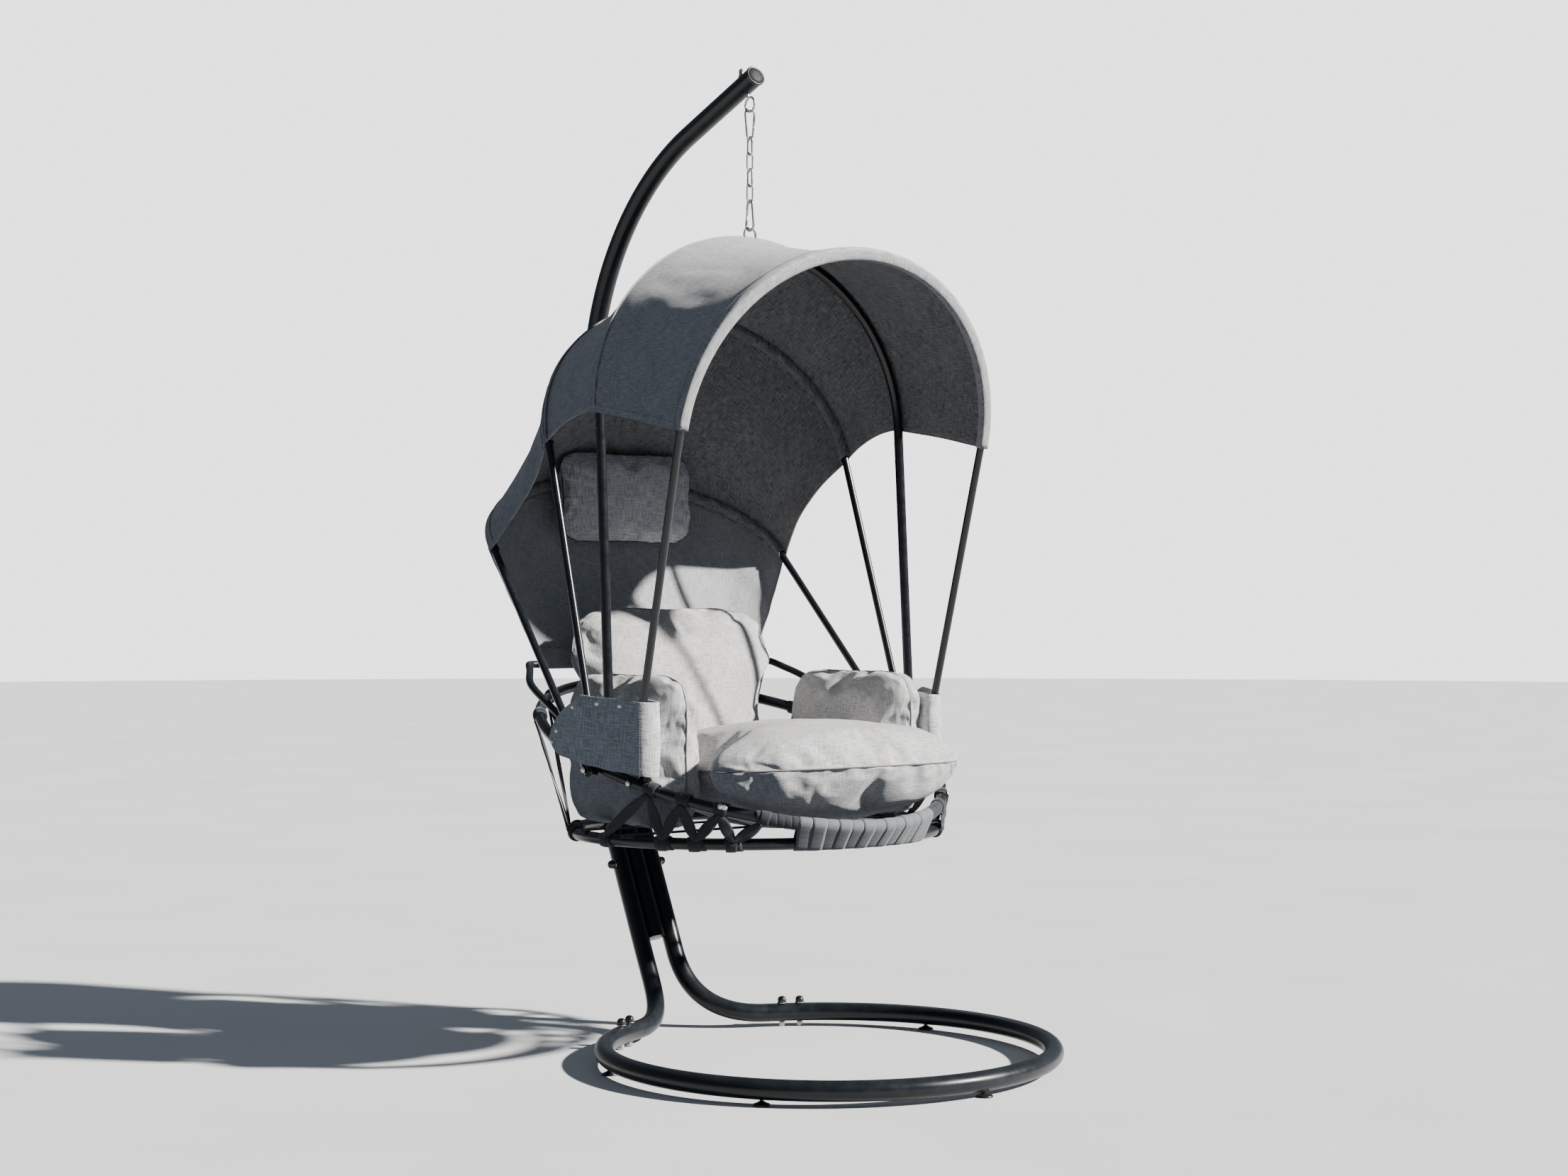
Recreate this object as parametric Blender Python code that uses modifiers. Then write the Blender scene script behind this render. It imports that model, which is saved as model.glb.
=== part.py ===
"""Hanging lounge chair: a C-shaped steel stand, a chain, and a basket seat under a hooped canopy.

Metres, +Z up. The sitter faces -Y, so the sitter's left is +X. The origin is on the floor,
at the centre of the whole object's footprint box.
"""
from math import acos, cos, floor, hypot, pi, radians, sin, sqrt, tan

import bmesh
import bpy
from mathutils import Matrix, Vector
from mathutils.geometry import interpolate_bezier

# General clearances
seat_gap = 0.0003
running_gap = 0.0006
swivel_gap = 0.0009
cutter_overrun = 0.004

# Stand: base ring
stand_tube_radius = 0.020
ring_radius = 0.460
ring_height = 0.031
ring_mouth_half_angle = radians(22.7)
spigot_radius = 0.0165
spigot_reach = 0.085
spigot_root = 0.020
end_squareness = 0.003

# Stand: legs and pole, which lean back together
pole_radius = 0.0216
leg_side_gap = 0.0005
leg_bend_top = 0.165
leg_ring_handle = 0.115
leg_upright_handle = 0.105
leg_top_height = 0.615
lean_angle = radians(24.55)
pole_foot_back = 0.602
pole_foot_height = 0.1974
pole_straight = 0.376
pole_sweep_radius = 1.504
pole_sweep_end = radians(16.4)
pole_crook_radius = 0.600
pole_crook_end = radians(68.5)
pole_tip_length = 0.2495

# Stand: caps, plugs and bolts
cap_lip = 0.0010
cap_thickness = 0.0050
cap_dome = 0.0040
plug_insert_radius = 0.0150
plug_insert_length = 0.018
tip_insert_length = 0.009
plug_thickness = 0.0030
bolt_radius = 0.0035
bolt_washer_radius = 0.0105
bolt_washer_thickness = 0.0015
bolt_cap_radius = 0.0090
bolt_cap_height = 0.0125
joint_bolt_offsets = (radians(4.3), radians(9.3))
joint_nut_radius = 0.0070
clamp_bolt_heights = (0.357, 0.510)

# Stand: levelling feet
foot_angles = (radians(68), radians(124), radians(180), radians(236), radians(292))
foot_pad_radius = 0.0170
foot_pad_waist = 0.0065
foot_pad_rim = 0.0020
foot_pad_height = 0.0080
foot_stud_radius = 0.0040
foot_stud_top = 0.0360
foot_travel = 0.008

# Hanging gear
hang_back = 0.261
eye_mean_radius = 0.0155
eye_wire_radius = 0.0026
eye_drop = 0.0476
eye_nut_radius = 0.0075
eye_nut_height = 0.0190
eye_washer_radius = 0.0095
eye_washer_thickness = 0.0016
carabiner_wire_radius = 0.0027
carabiner_length = 0.0650
carabiner_wide = 0.0125
carabiner_narrow = 0.0078
gate_wire_radius = 0.0022
gate_start_share = 0.30
gate_end_share = 0.72
gate_pin_gap = 0.0010
link_wire_radius = 0.0022
link_length = 0.0388
link_half_width = 0.0072
link_count = 4
loop_mean_radius = 0.0150
loop_wire_radius = 0.0026
loop_foot_drop = 0.0008

# Basket: rim tube, tilted up to the back, and level lower ring
rim_tube_radius = 0.0115
rim_half_width = 0.418
rim_half_depth = 0.4476
rim_centre_back = 0.035
rim_front_height = 0.4948
rim_slope = 0.302
lower_tube_radius = 0.0120
lower_half_width = 0.400
lower_half_depth = 0.364
lower_centre_back = -0.022
lower_height = 0.4651

# Canopy hoops: pivots on the rim, cuff points where the fabric ends, and the arch rises
hoop_radius = 0.0080
main_hoop_radius = 0.0100
front_pivot_back = -0.122
main_foot_back = -0.0635
rear_pivot_back = -0.040
pivot_bolt_radius = 0.0030
pivot_head_radius = 0.0065
pivot_head_thickness = 0.0030
pivot_head_ease = 0.0012
cuff_a = (0.4025, -0.291, 1.278)
cuff_b = (0.405, -0.0222, 1.332)
cuff_c = (0.406, 0.162, 1.276)
cuff_d = (0.400, 0.383, 1.059)
knee_a = (0.3925, -0.1495, 0.722)
knee_c = (0.4205, -0.0080, 0.722)
knee_d = (0.4300, 0.0590, 0.700)
rise_a = 0.380
rise_b = 0.3805
rise_c = 0.326
rise_d = 0.225
hoop_tail = 0.012
arch_steps = 16
ring_steps = 36
basket_steps = 48
main_hoop_ease = 0.0026
hoop_side_gap = 0.0010

# Back bar: runs up from the rear pivot and across under the sling
bar_side = 0.385
bar_shoulder_back = 0.225
bar_shoulder_height = 0.747
bar_corner_side = 0.355
bar_corner_back = 0.312
bar_corner_height = 0.795
bar_end_side = 0.295
bar_back = 0.352
bar_height = 0.811

# Fabric
fabric_thickness = 0.0016
front_sag = 0.016
middle_sag = 0.020
rear_sag = 0.032
rear_side_pull = 0.027
sling_sag = 0.018
front_edge_rise = radians(0.4)
middle_edge_rise = radians(3.0)
rear_edge_rise = radians(0.6)
hem_wrap_angle = radians(215)
sling_bar_wrap = 0.012
front_row_shares = (0.0, 0.25, 0.5, 0.75, 0.99)
middle_row_shares = (0.015, 0.25, 0.5, 0.75)
rear_row_shares = (0.25, 0.5, 0.75)
sling_row_shares = (0.25, 0.5, 0.75, 1.0)

# Arm panels
panel_front_back = -0.1745
panel_rear_back = 0.072
panel_bend_back = -0.056
panel_front_side = 0.402
panel_rear_side = 0.4635
panel_inner_side = 0.3617
panel_inner_end = 0.000
panel_top_front = 0.745
panel_top_middle = 0.759
panel_top_rear = 0.700
panel_bottom_front = 0.596
panel_bottom_rear = 0.640
snap_radius = 0.0050
snap_thickness = 0.0018
panel_bend_share = 0.55
panel_peak_share = 0.55
half_share = 0.5
snap_shares = ((0.03, 0.22), (0.06, 0.62), (0.22, 0.90), (0.46, 0.93), (0.72, 0.94))

# Webbing
strap_width = 0.024
strap_thickness = 0.0016
wrap_ease = 0.0008
wrap_sides = 8
front_wrap_count = 15
front_wrap_span = radians(54)
side_rim_angles = (radians(34), radians(45), radians(55), radians(64.2))
side_lower_angles = (radians(42.5), radians(53.5), radians(64), radians(86.4))
back_rim_angles = tuple(radians(angle) for angle in (123, 145, 168.3, 191.7, 215, 237))
back_lower_angles = tuple(radians(angle) for angle in (112, 134, 156.6, 180, 203.4, 226, 248))
seat_strap_width = 0.036
seat_strap_shares = (-0.242, 0.174, 0.545)
seat_hook_angle = radians(62)
spacer_radius = 0.0060
spacer_angles = (radians(-18), radians(0), radians(18))

# Cushions: centre, half sizes, tilt about X
seat_cushion_centre = (0.0, -0.130, 0.600)
seat_cushion_half = (0.372, 0.300, 0.092)
seat_cushion_waist = 0.240
seat_waist_from = -0.300
seat_waist_to = -0.200
seat_belly_share = 0.312
seat_cushion_tilt = radians(-3.0)
back_cushion_centre = (0.0, 0.252, 0.7087)
back_cushion_half = (0.290, 0.062, 0.2458)
back_cushion_foot = 0.236
back_taper_from = -0.020
back_taper_to = 0.150
back_cushion_tilt = radians(-12.0)
arm_cushion_centre = (0.305, 0.0125, 0.6385)
arm_cushion_half = (0.0555, 0.192, 0.1653)
pillow_centre = (0.0, 0.4577, 1.185)
pillow_half = (0.183, 0.034, 0.108)
pillow_tilt = radians(-2.0)
cushion_seam_depth = 0.004
pillow_seam_depth = 0.002

# Smoothness of the round pieces
tube_sides_fine = 3
tube_sides_medium = 2
tube_sides_coarse = 2
wire_sides = 1

# Worked out from the sizes above
pole_reach_back = (
    pole_foot_back
    + pole_straight * sin(lean_angle)
    + pole_sweep_radius * (1 - cos(lean_angle))
    + pole_radius
)
ring_outer_radius = ring_radius + stand_tube_radius
base_centre_y = (ring_outer_radius - pole_reach_back) / 2
hang_y = base_centre_y + hang_back
leg_side = pole_radius + stand_tube_radius + leg_side_gap
rim_front_back = rim_centre_back - rim_half_depth
UP = Vector((0, 0, 1))
BACK = Vector((0, 1, 0))
RIGHT = Vector((1, 0, 0))


def clear_scene():
    for old in list(bpy.data.objects):
        bpy.data.objects.remove(old, do_unlink=True)
    for old in list(bpy.data.collections):
        bpy.data.collections.remove(old)


def make_collection(name):
    collection = bpy.data.collections.new(name)
    bpy.context.scene.collection.children.link(collection)
    return collection


def make_material(name, colour, roughness, metallic=0.0):
    material = bpy.data.materials.new(name)
    material.use_nodes = True
    shader = material.node_tree.nodes["Principled BSDF"]
    shader.inputs["Base Color"].default_value = (*colour, 1.0)
    shader.inputs["Roughness"].default_value = roughness
    shader.inputs["Metallic"].default_value = metallic
    return material


clear_scene()
parts = make_collection("hanging_chair")
cutters = make_collection("cutters")

powder_coat = make_material("powder_coat", (0.022, 0.025, 0.029), 0.38, 0.35)
zinc_steel = make_material("zinc_steel", (0.62, 0.62, 0.60), 0.28, 1.0)
black_plastic = make_material("black_plastic", (0.012, 0.012, 0.013), 0.35)
grey_fabric = make_material("grey_fabric", (0.40, 0.40, 0.41), 0.90)
cushion_fabric = make_material("cushion_fabric", (0.47, 0.46, 0.46), 0.92)
charcoal_fabric = make_material("charcoal_fabric", (0.13, 0.13, 0.14), 0.92)
slate_webbing = make_material("slate_webbing", (0.055, 0.062, 0.074), 0.80)


def to_world(point):
    """Turn a place given behind the hanging axis into the object's own frame."""
    side, back, height = point
    return Vector((side, hang_y + back, height))


# Bodies: each has an empty on its joint axis, and its pieces hang from that empty
bodies = {}


def add_body(name, pivot, parent=None):
    empty = bpy.data.objects.new(f"{name}_axis", None)
    empty.empty_display_size = stand_tube_radius
    parts.objects.link(empty)
    pivot = Vector(pivot)
    if parent:
        empty.parent = bodies[parent][0]
        empty.location = pivot - bodies[parent][1]
    else:
        empty.location = pivot
    bodies[name] = (empty, pivot)


def attach(piece, body):
    """Hang a piece, modelled in place, from its body's empty."""
    empty, pivot = bodies[body]
    piece.data.transform(Matrix.Translation(-pivot))
    piece.parent = empty
    return piece


def finish_mesh(name, mesh, material, smooth_angle=radians(40)):
    mesh.shade_smooth()
    mesh.set_sharp_from_angle(angle=smooth_angle)
    piece = bpy.data.objects.new(name, mesh)
    mesh.materials.clear()
    mesh.materials.append(material)
    parts.objects.link(piece)
    return piece


def mesh_from_bmesh(name, work):
    mesh = bpy.data.meshes.new(name)
    bmesh.ops.recalc_face_normals(work, faces=work.faces)
    work.to_mesh(mesh)
    work.free()
    return mesh


def tube_curve(name, points, radius, sides, closed=False, capped=True):
    curve = bpy.data.curves.new(name, "CURVE")
    curve.dimensions = "3D"
    curve.bevel_depth = radius
    curve.bevel_resolution = sides
    curve.use_fill_caps = capped and not closed
    curve.twist_mode = "MINIMUM"
    spline = curve.splines.new("POLY")
    spline.points.add(len(points) - 1)
    for slot, point in zip(spline.points, points):
        slot.co = (*point, 1.0)
    spline.use_cyclic_u = closed
    spline.use_smooth = True
    return curve


def tube(name, points, radius, material, sides=tube_sides_coarse, closed=False):
    curve = tube_curve(name, points, radius, sides, closed)
    curve.materials.append(material)
    piece = bpy.data.objects.new(name, curve)
    parts.objects.link(piece)
    return piece


def evaluated_mesh(piece, weld=seat_gap / 10):
    """Freeze an object's modifiers or curve into a welded mesh in world space."""
    bpy.context.view_layer.update()
    graph = bpy.context.evaluated_depsgraph_get()
    mesh = bpy.data.meshes.new_from_object(piece.evaluated_get(graph))
    mesh.transform(piece.matrix_world)
    work = bmesh.new()
    work.from_mesh(mesh)
    bmesh.ops.remove_doubles(work, verts=work.verts, dist=weld)
    bmesh.ops.recalc_face_normals(work, faces=work.faces)
    work.to_mesh(mesh)
    work.free()
    return mesh


def tube_mesh(name, points, radius, sides=tube_sides_coarse, closed=False):
    curve = tube_curve(name, points, radius, sides, closed)
    guide = bpy.data.objects.new(name, curve)
    parts.objects.link(guide)
    mesh = evaluated_mesh(guide)
    bpy.data.objects.remove(guide, do_unlink=True)
    return mesh


def solid_piece(name, mesh, material):
    mesh.name = name
    return finish_mesh(name, mesh, material)


def aim(direction):
    return Vector(direction).to_track_quat("Z", "Y").to_matrix().to_4x4()


def turned_mesh(name, profile, place, direction=UP, steps=12):
    """Turn a profile of (radius, height) pairs, top to bottom, about an axis through place."""
    work = bmesh.new()
    previous = None
    for radius, height in profile:
        vert = work.verts.new((radius, 0, height))
        if previous:
            work.edges.new((previous, vert))
        previous = vert
    mesh = bpy.data.meshes.new(name)
    work.to_mesh(mesh)
    work.free()
    guide = bpy.data.objects.new(name, mesh)
    parts.objects.link(guide)
    screw = guide.modifiers.new("turn", "SCREW")
    screw.steps = steps
    screw.render_steps = steps
    screw.use_merge_vertices = True
    screw.merge_threshold = seat_gap / 10
    solid = evaluated_mesh(guide)
    bpy.data.objects.remove(guide, do_unlink=True)
    solid.transform(Matrix.Translation(place) @ aim(direction))
    return solid


def cylinder_mesh(name, start, end, radius, steps=12):
    run = Vector(end) - Vector(start)
    profile = ((0, run.length), (radius, run.length), (radius, 0), (0, 0))
    return turned_mesh(name, profile, Vector(start), run, steps)


def as_mesh_piece(piece):
    """A curve takes no Boolean, so it is made a mesh first."""
    if piece.type == "MESH":
        return piece
    material = piece.data.materials[0]
    name = piece.name
    mesh = evaluated_mesh(piece)
    bpy.data.objects.remove(piece, do_unlink=True)
    return finish_mesh(name, mesh, material)


def combine(piece, meshes, operation):
    """Take shapes out of a piece, or fuse them to it."""
    piece = as_mesh_piece(piece)
    work = bmesh.new()
    for mesh in meshes:
        work.from_mesh(mesh)
    shape = bpy.data.meshes.new(f"{piece.name}_shape")
    work.to_mesh(shape)
    work.free()
    guide = bpy.data.objects.new(f"{piece.name}_shape", shape)
    guide.hide_render = True
    guide.display_type = "WIRE"
    cutters.objects.link(guide)
    modifier = piece.modifiers.new(operation.lower(), "BOOLEAN")
    modifier.operation = operation
    modifier.solver = "EXACT"
    modifier.object = guide
    return settle(piece)


def cut(piece, meshes):
    return combine(piece, meshes, "DIFFERENCE")


def unite(piece, meshes):
    return combine(piece, meshes, "UNION")


def settle(piece):
    """Apply a piece's modifiers, so that it can hang from a moved empty."""
    name = piece.name
    material = piece.data.materials[0]
    mesh = evaluated_mesh(piece)
    bpy.data.objects.remove(piece, do_unlink=True)
    return finish_mesh(name, mesh, material)


def sheet_mesh(name, rows, thickness, offset=0.0, closed=False):
    """Solidify a grid of points; closed joins each row's end to its start."""
    work = bmesh.new()
    grid = [[work.verts.new(point) for point in row] for row in rows]
    for low, high in zip(grid, grid[1:]):
        count = len(low)
        for i in range(count if closed else count - 1):
            j = (i + 1) % count
            work.faces.new((low[i], low[j], high[j], high[i]))
    mesh = mesh_from_bmesh(name, work)
    guide = bpy.data.objects.new(name, mesh)
    parts.objects.link(guide)
    shell = guide.modifiers.new("thickness", "SOLIDIFY")
    shell.thickness = thickness
    shell.offset = offset
    solid = evaluated_mesh(guide)
    bpy.data.objects.remove(guide, do_unlink=True)
    return solid


def blend_value(low, high, share):
    return low + (high - low) * share


def smooth_share(value, start, end):
    share = min(max((value - start) / (end - start), 0.0), 1.0)
    return share * share * (3 - 2 * share)


# Paths of the stand
def ring_point(angle, radius=ring_radius, height=ring_height):
    """A point on the base ring; angle 0 is straight back and grows towards the sitter's left."""
    return Vector((radius * sin(angle), base_centre_y + radius * cos(angle), height))


def upright_point(height, side=0.0):
    """A point on the straight, leaning part that legs and pole share."""
    back = pole_foot_back + tan(lean_angle) * (height - pole_foot_height)
    return Vector((side, base_centre_y + back, height))


def pole_path():
    points = [upright_point(pole_foot_height)]
    lean = Vector((0, sin(lean_angle), cos(lean_angle)))
    corner = points[0] + lean * pole_straight
    points.append(corner)
    arcs = (
        (pole_sweep_radius, -lean_angle, pole_sweep_end, 10),
        (pole_crook_radius, pole_sweep_end, pole_crook_end, 10),
    )
    for radius, start, end, steps in arcs:
        centre = corner - radius * Vector((0, cos(start), sin(start)))
        for i in range(1, steps + 1):
            angle = blend_value(start, end, i / steps)
            points.append(centre + radius * Vector((0, cos(angle), sin(angle))))
        corner = points[-1]
    points.append(corner + pole_tip_length * Vector((0, -sin(pole_crook_end), cos(pole_crook_end))))
    return points


def leg_path(hand):
    start_angle = hand * (ring_mouth_half_angle - running_gap / ring_radius)
    start = ring_point(start_angle)
    along = Vector((-hand * cos(start_angle), hand * sin(start_angle), 0))
    bend_top = upright_point(leg_bend_top, hand * leg_side)
    lean = Vector((0, sin(lean_angle), cos(lean_angle)))
    bend = interpolate_bezier(
        start, start + along * leg_ring_handle, bend_top - lean * leg_upright_handle, bend_top, 13
    )
    bend = list(bend)
    bend.insert(1, start + along * end_squareness)
    return bend + [upright_point(leg_top_height, hand * leg_side)]


def trimmed(points, length):
    """The first part of a path, cut at a length along it."""
    kept = [points[0]]
    for first, second in zip(points, points[1:]):
        step = (second - first).length
        if step >= length:
            return kept + [first.lerp(second, length / step)]
        kept.append(second)
        length -= step
    return kept


def spigot_path(hand, reach):
    """The leg's narrowed end, which slides into the ring: part in the ring and part in the leg."""
    steps = 9
    sweep = 2 * pi - 2 * ring_mouth_half_angle
    ring_side = [
        ring_point(hand * (ring_mouth_half_angle + sweep * i / ring_steps)) for i in range(steps)
    ]
    square = (ring_point(hand * (ring_mouth_half_angle + radians(1))) - ring_side[0]).normalized()
    ring_side.insert(1, ring_side[0] + square * end_squareness)
    return trimmed(ring_side, reach)[:0:-1] + trimmed(leg_path(hand), spigot_root)


# Paths of the basket, seen from above: angle 0 is the front and grows towards the sitter's left
def rim_curve(angle):
    back = rim_centre_back - rim_half_depth * cos(angle)
    height = rim_front_height + rim_slope * (back - rim_front_back)
    return to_world((rim_half_width * sin(angle), back, height))


def lower_curve(angle):
    back = lower_centre_back - lower_half_depth * cos(angle)
    return to_world((lower_half_width * sin(angle), back, lower_height))


def on_tube(curve, angle):
    """A point on the tube as it is built, in straight runs between points of its curve."""
    position = angle * basket_steps / (2 * pi)
    start = floor(position)
    corners = [curve(2 * pi * (start + i) / basket_steps) for i in (0, 1)]
    return corners[0].lerp(corners[1], position - start)


def rim_point(angle):
    return on_tube(rim_curve, angle)


def lower_point(angle):
    return on_tube(lower_curve, angle)


def rim_angle_at(back):
    return acos((rim_centre_back - back) / rim_half_depth)


def closed_points(curve):
    return [curve(2 * pi * i / basket_steps) for i in range(basket_steps)]


def along(path, angle):
    step = radians(0.5)
    return (path(angle + step) - path(angle - step)).normalized()


# Hoops: foot, cuff and arch rise, all given behind the hanging axis
front_pivot = rim_point(rim_angle_at(front_pivot_back))
main_foot = rim_point(rim_angle_at(main_foot_back))
rear_pivot = rim_point(rim_angle_at(rear_pivot_back))


def beside_rim(back, radius):
    """How far to one side of the rim a crossing tube's centre lies, where the rim runs askew."""
    run = along(rim_point, rim_angle_at(back))
    return (rim_tube_radius + radius + seat_gap) * hypot(run.x, run.y) / abs(run.y)


rear_offset = beside_rim(rear_pivot_back, hoop_radius)
front_side = front_pivot.x - beside_rim(front_pivot_back, hoop_radius)
third_side = rear_pivot.x + rear_offset
rear_side = third_side + 2 * hoop_radius + hoop_side_gap
back_bar_side = rear_pivot.x - rear_offset
hoops = {
    "a": (front_side, front_pivot, cuff_a, rise_a, hoop_radius),
    "b": (main_foot.x, main_foot, cuff_b, rise_b, main_hoop_radius),
    "c": (third_side, rear_pivot, cuff_c, rise_c, hoop_radius),
    "d": (rear_side, rear_pivot, cuff_d, rise_d, hoop_radius),
}
knees = {"a": knee_a, "c": knee_c, "d": knee_d}


def hoop_frame(key):
    """The arch's own frame: cuff height point on the middle plane, and the direction it rises in."""
    side, pivot, cuff, rise, radius = hoops[key]
    middle = to_world((0, cuff[1], cuff[2]))
    low = to_world(knees[key]) if key in knees else pivot
    rising = Vector((0, middle.y - low.y, middle.z - low.z)).normalized()
    return middle, rising


def arch_point(key, angle, outward=0.0):
    """A point on the arch: angle 0 is the cuff on the sitter's right and pi the one on the left."""
    side, pivot, cuff, rise, radius = hoops[key]
    middle, rising = hoop_frame(key)
    return (
        middle
        - RIGHT * (cuff[0] + outward) * cos(angle)
        + rising * (rise + outward) * sin(angle)
    )


def hoop_path(key):
    side, pivot, cuff, rise, radius = hoops[key]
    foot = Vector((side, pivot.y, pivot.z))
    leg = [foot]
    if key in knees:
        knee = to_world(knees[key])
        down = (foot - knee).normalized()
        leg = [foot + down * hoop_tail, knee]
    points = [Vector((-point.x, point.y, point.z)) for point in leg]
    points += [arch_point(key, pi * i / arch_steps) for i in range(arch_steps + 1)]
    return points + leg[::-1]


def bar_path():
    tail = (back_bar_side, rear_pivot_back - hoop_tail / 3, rear_pivot.z - hoop_tail / 6)
    left = [
        to_world(tail),
        to_world((bar_side, bar_shoulder_back, bar_shoulder_height)),
        to_world((bar_corner_side, bar_corner_back, bar_corner_height)),
        to_world((bar_end_side, bar_back, bar_height)),
    ]
    tangent = (left[1] - left[0]).normalized()
    reach = (left[2] - left[1]).length / 2
    leaving = (left[3] - left[1]).normalized() * reach
    bend = interpolate_bezier(left[1], left[1] + tangent * reach, left[2] - leaving, left[2], 4)
    turn = interpolate_bezier(left[2], left[2] + leaving, left[3] + RIGHT * reach, left[3], 6)
    half = [left[0]] + list(bend) + list(turn)[1:]
    mirrored = [Vector((-point.x, point.y, point.z)) for point in reversed(half)]
    return half + mirrored


# Builders of the stand
def dome_profile(radius, height, skirt, steps=3):
    """Top to bottom: a round cap over a straight skirt."""
    angles = [pi / 2 * i / steps for i in range(steps + 1)]
    rows = [(radius * sin(angle), skirt + (height - skirt) * cos(angle)) for angle in angles]
    return rows + [(radius, 0), (0, 0)]


def cap_bolt_profile(top):
    """A bolt's upper end: a washer whose underside lies at the given height, and a round cap on it."""
    washer_top = top + bolt_washer_thickness
    dome = dome_profile(bolt_cap_radius, bolt_cap_height, bolt_cap_height / 3)[:-1]
    rows = [(radius, washer_top + height) for radius, height in dome]
    return rows + [(bolt_washer_radius, washer_top), (bolt_washer_radius, top), (bolt_radius, top)]


def build_base():
    start = ring_mouth_half_angle
    sweep = 2 * pi - 2 * ring_mouth_half_angle
    path = [ring_point(start + sweep * i / ring_steps) for i in range(ring_steps + 1)]
    for index, turn in ((0, start + radians(1)), (-1, -start - radians(1))):
        square = (ring_point(turn) - path[index]).normalized() * end_squareness
        path.insert(index or 1, path[index] + square)
    ring = tube("base_ring", path, stand_tube_radius, powder_coat, tube_sides_fine)
    stud_bores = []
    for angle in foot_angles:
        place = ring_point(angle)
        low = place - UP * (stand_tube_radius + cutter_overrun)
        high = place + UP * (foot_stud_top + running_gap - ring_height)
        stud_bores.append(cylinder_mesh("stud_bore", low, high, foot_stud_radius + running_gap, 8))
    bolt_bores = []
    number = 0
    for hand in (-1, 1):
        for offset in joint_bolt_offsets:
            number += 1
            place = ring_point(hand * (ring_mouth_half_angle + offset))
            floor_point = place - UP * ring_height
            reach = UP * (stand_tube_radius + cutter_overrun)
            bolt_bores.append(cylinder_mesh("bolt_bore", place - reach, place + reach, bolt_radius + seat_gap, 8))
            nut_top = ring_height - stand_tube_radius - seat_gap
            profile = cap_bolt_profile(ring_height + stand_tube_radius + seat_gap)
            profile += [(bolt_radius, nut_top), (joint_nut_radius, nut_top), (joint_nut_radius, 0), (0, 0)]
            bolt = turned_mesh("bolt", profile, floor_point, UP, 8)
            attach(solid_piece(f"base_joint_bolt_{number}", bolt, black_plastic), "stand")
    pockets = [
        tube_mesh("pocket", spigot_path(hand, spigot_reach + seat_gap), spigot_radius + seat_gap, tube_sides_medium)
        for hand in (-1, 1)
    ]
    attach(cut(cut(ring, pockets), stud_bores + bolt_bores), "stand")
    return bolt_bores


def build_legs(bolt_bores):
    outer = leg_side + stand_tube_radius
    reach = RIGHT * (outer + cutter_overrun)
    places = [upright_point(height) for height in clamp_bolt_heights]
    clamp_bores = [
        cylinder_mesh("clamp_bore", place - reach, place + reach, bolt_radius + seat_gap, 8)
        for place in places
    ]
    lean = Vector((0, sin(lean_angle), cos(lean_angle)))
    for hand, side in ((-1, "right"), (1, "left")):
        leg = tube(f"leg_{side}", leg_path(hand), stand_tube_radius, powder_coat, tube_sides_fine)
        spigot = tube_mesh("spigot", spigot_path(hand, spigot_reach), spigot_radius, tube_sides_medium)
        top = upright_point(leg_top_height, hand * leg_side)
        socket_end = top - lean * (plug_insert_length + seat_gap)
        mouth = top + lean * cutter_overrun
        socket = cylinder_mesh("plug_socket", socket_end, mouth, plug_insert_radius + seat_gap)
        attach(cut(unite(leg, [spigot]), clamp_bores + bolt_bores + [socket]), "stand")
        plug = plug_mesh(top, lean, stand_tube_radius)
        attach(solid_piece(f"leg_top_plug_{side}", plug, black_plastic), "stand")
    head = outer + seat_gap
    upper_half = cap_bolt_profile(head)
    profile = upper_half + [(radius, -height) for radius, height in reversed(upper_half)]
    for place, level in zip(places, ("lower", "upper")):
        bolt = turned_mesh("clamp", profile, place, RIGHT, 8)
        attach(solid_piece(f"clamp_bolt_{level}", bolt, black_plastic), "stand")
    return clamp_bores


def plug_mesh(end, outwards, flange_radius):
    """A tube plug: a thin flange over the tube's end and an insert inside it."""
    profile = (
        (0, plug_thickness + seat_gap),
        (flange_radius, plug_thickness + seat_gap),
        (flange_radius, seat_gap),
        (plug_insert_radius, seat_gap),
        (plug_insert_radius, -plug_insert_length),
        (0, -plug_insert_length),
    )
    return turned_mesh("plug", profile, end, outwards, 12)


def eye_axis_point():
    """Where the eye bolt's shank crosses the pole's centre line, and the shank's direction."""
    path = pole_path()
    tip_run = (path[-1] - path[-2]).normalized()
    shank = Vector((0, tip_run.z, -tip_run.y))
    # The eye's centre lies on the hanging axis, eye_drop below the centre line along the shank
    back_of_hang = shank.y * eye_drop
    distance = (path[-2].y - (hang_y + back_of_hang)) / -tip_run.y
    return path[-2] + tip_run * distance, shank


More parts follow.
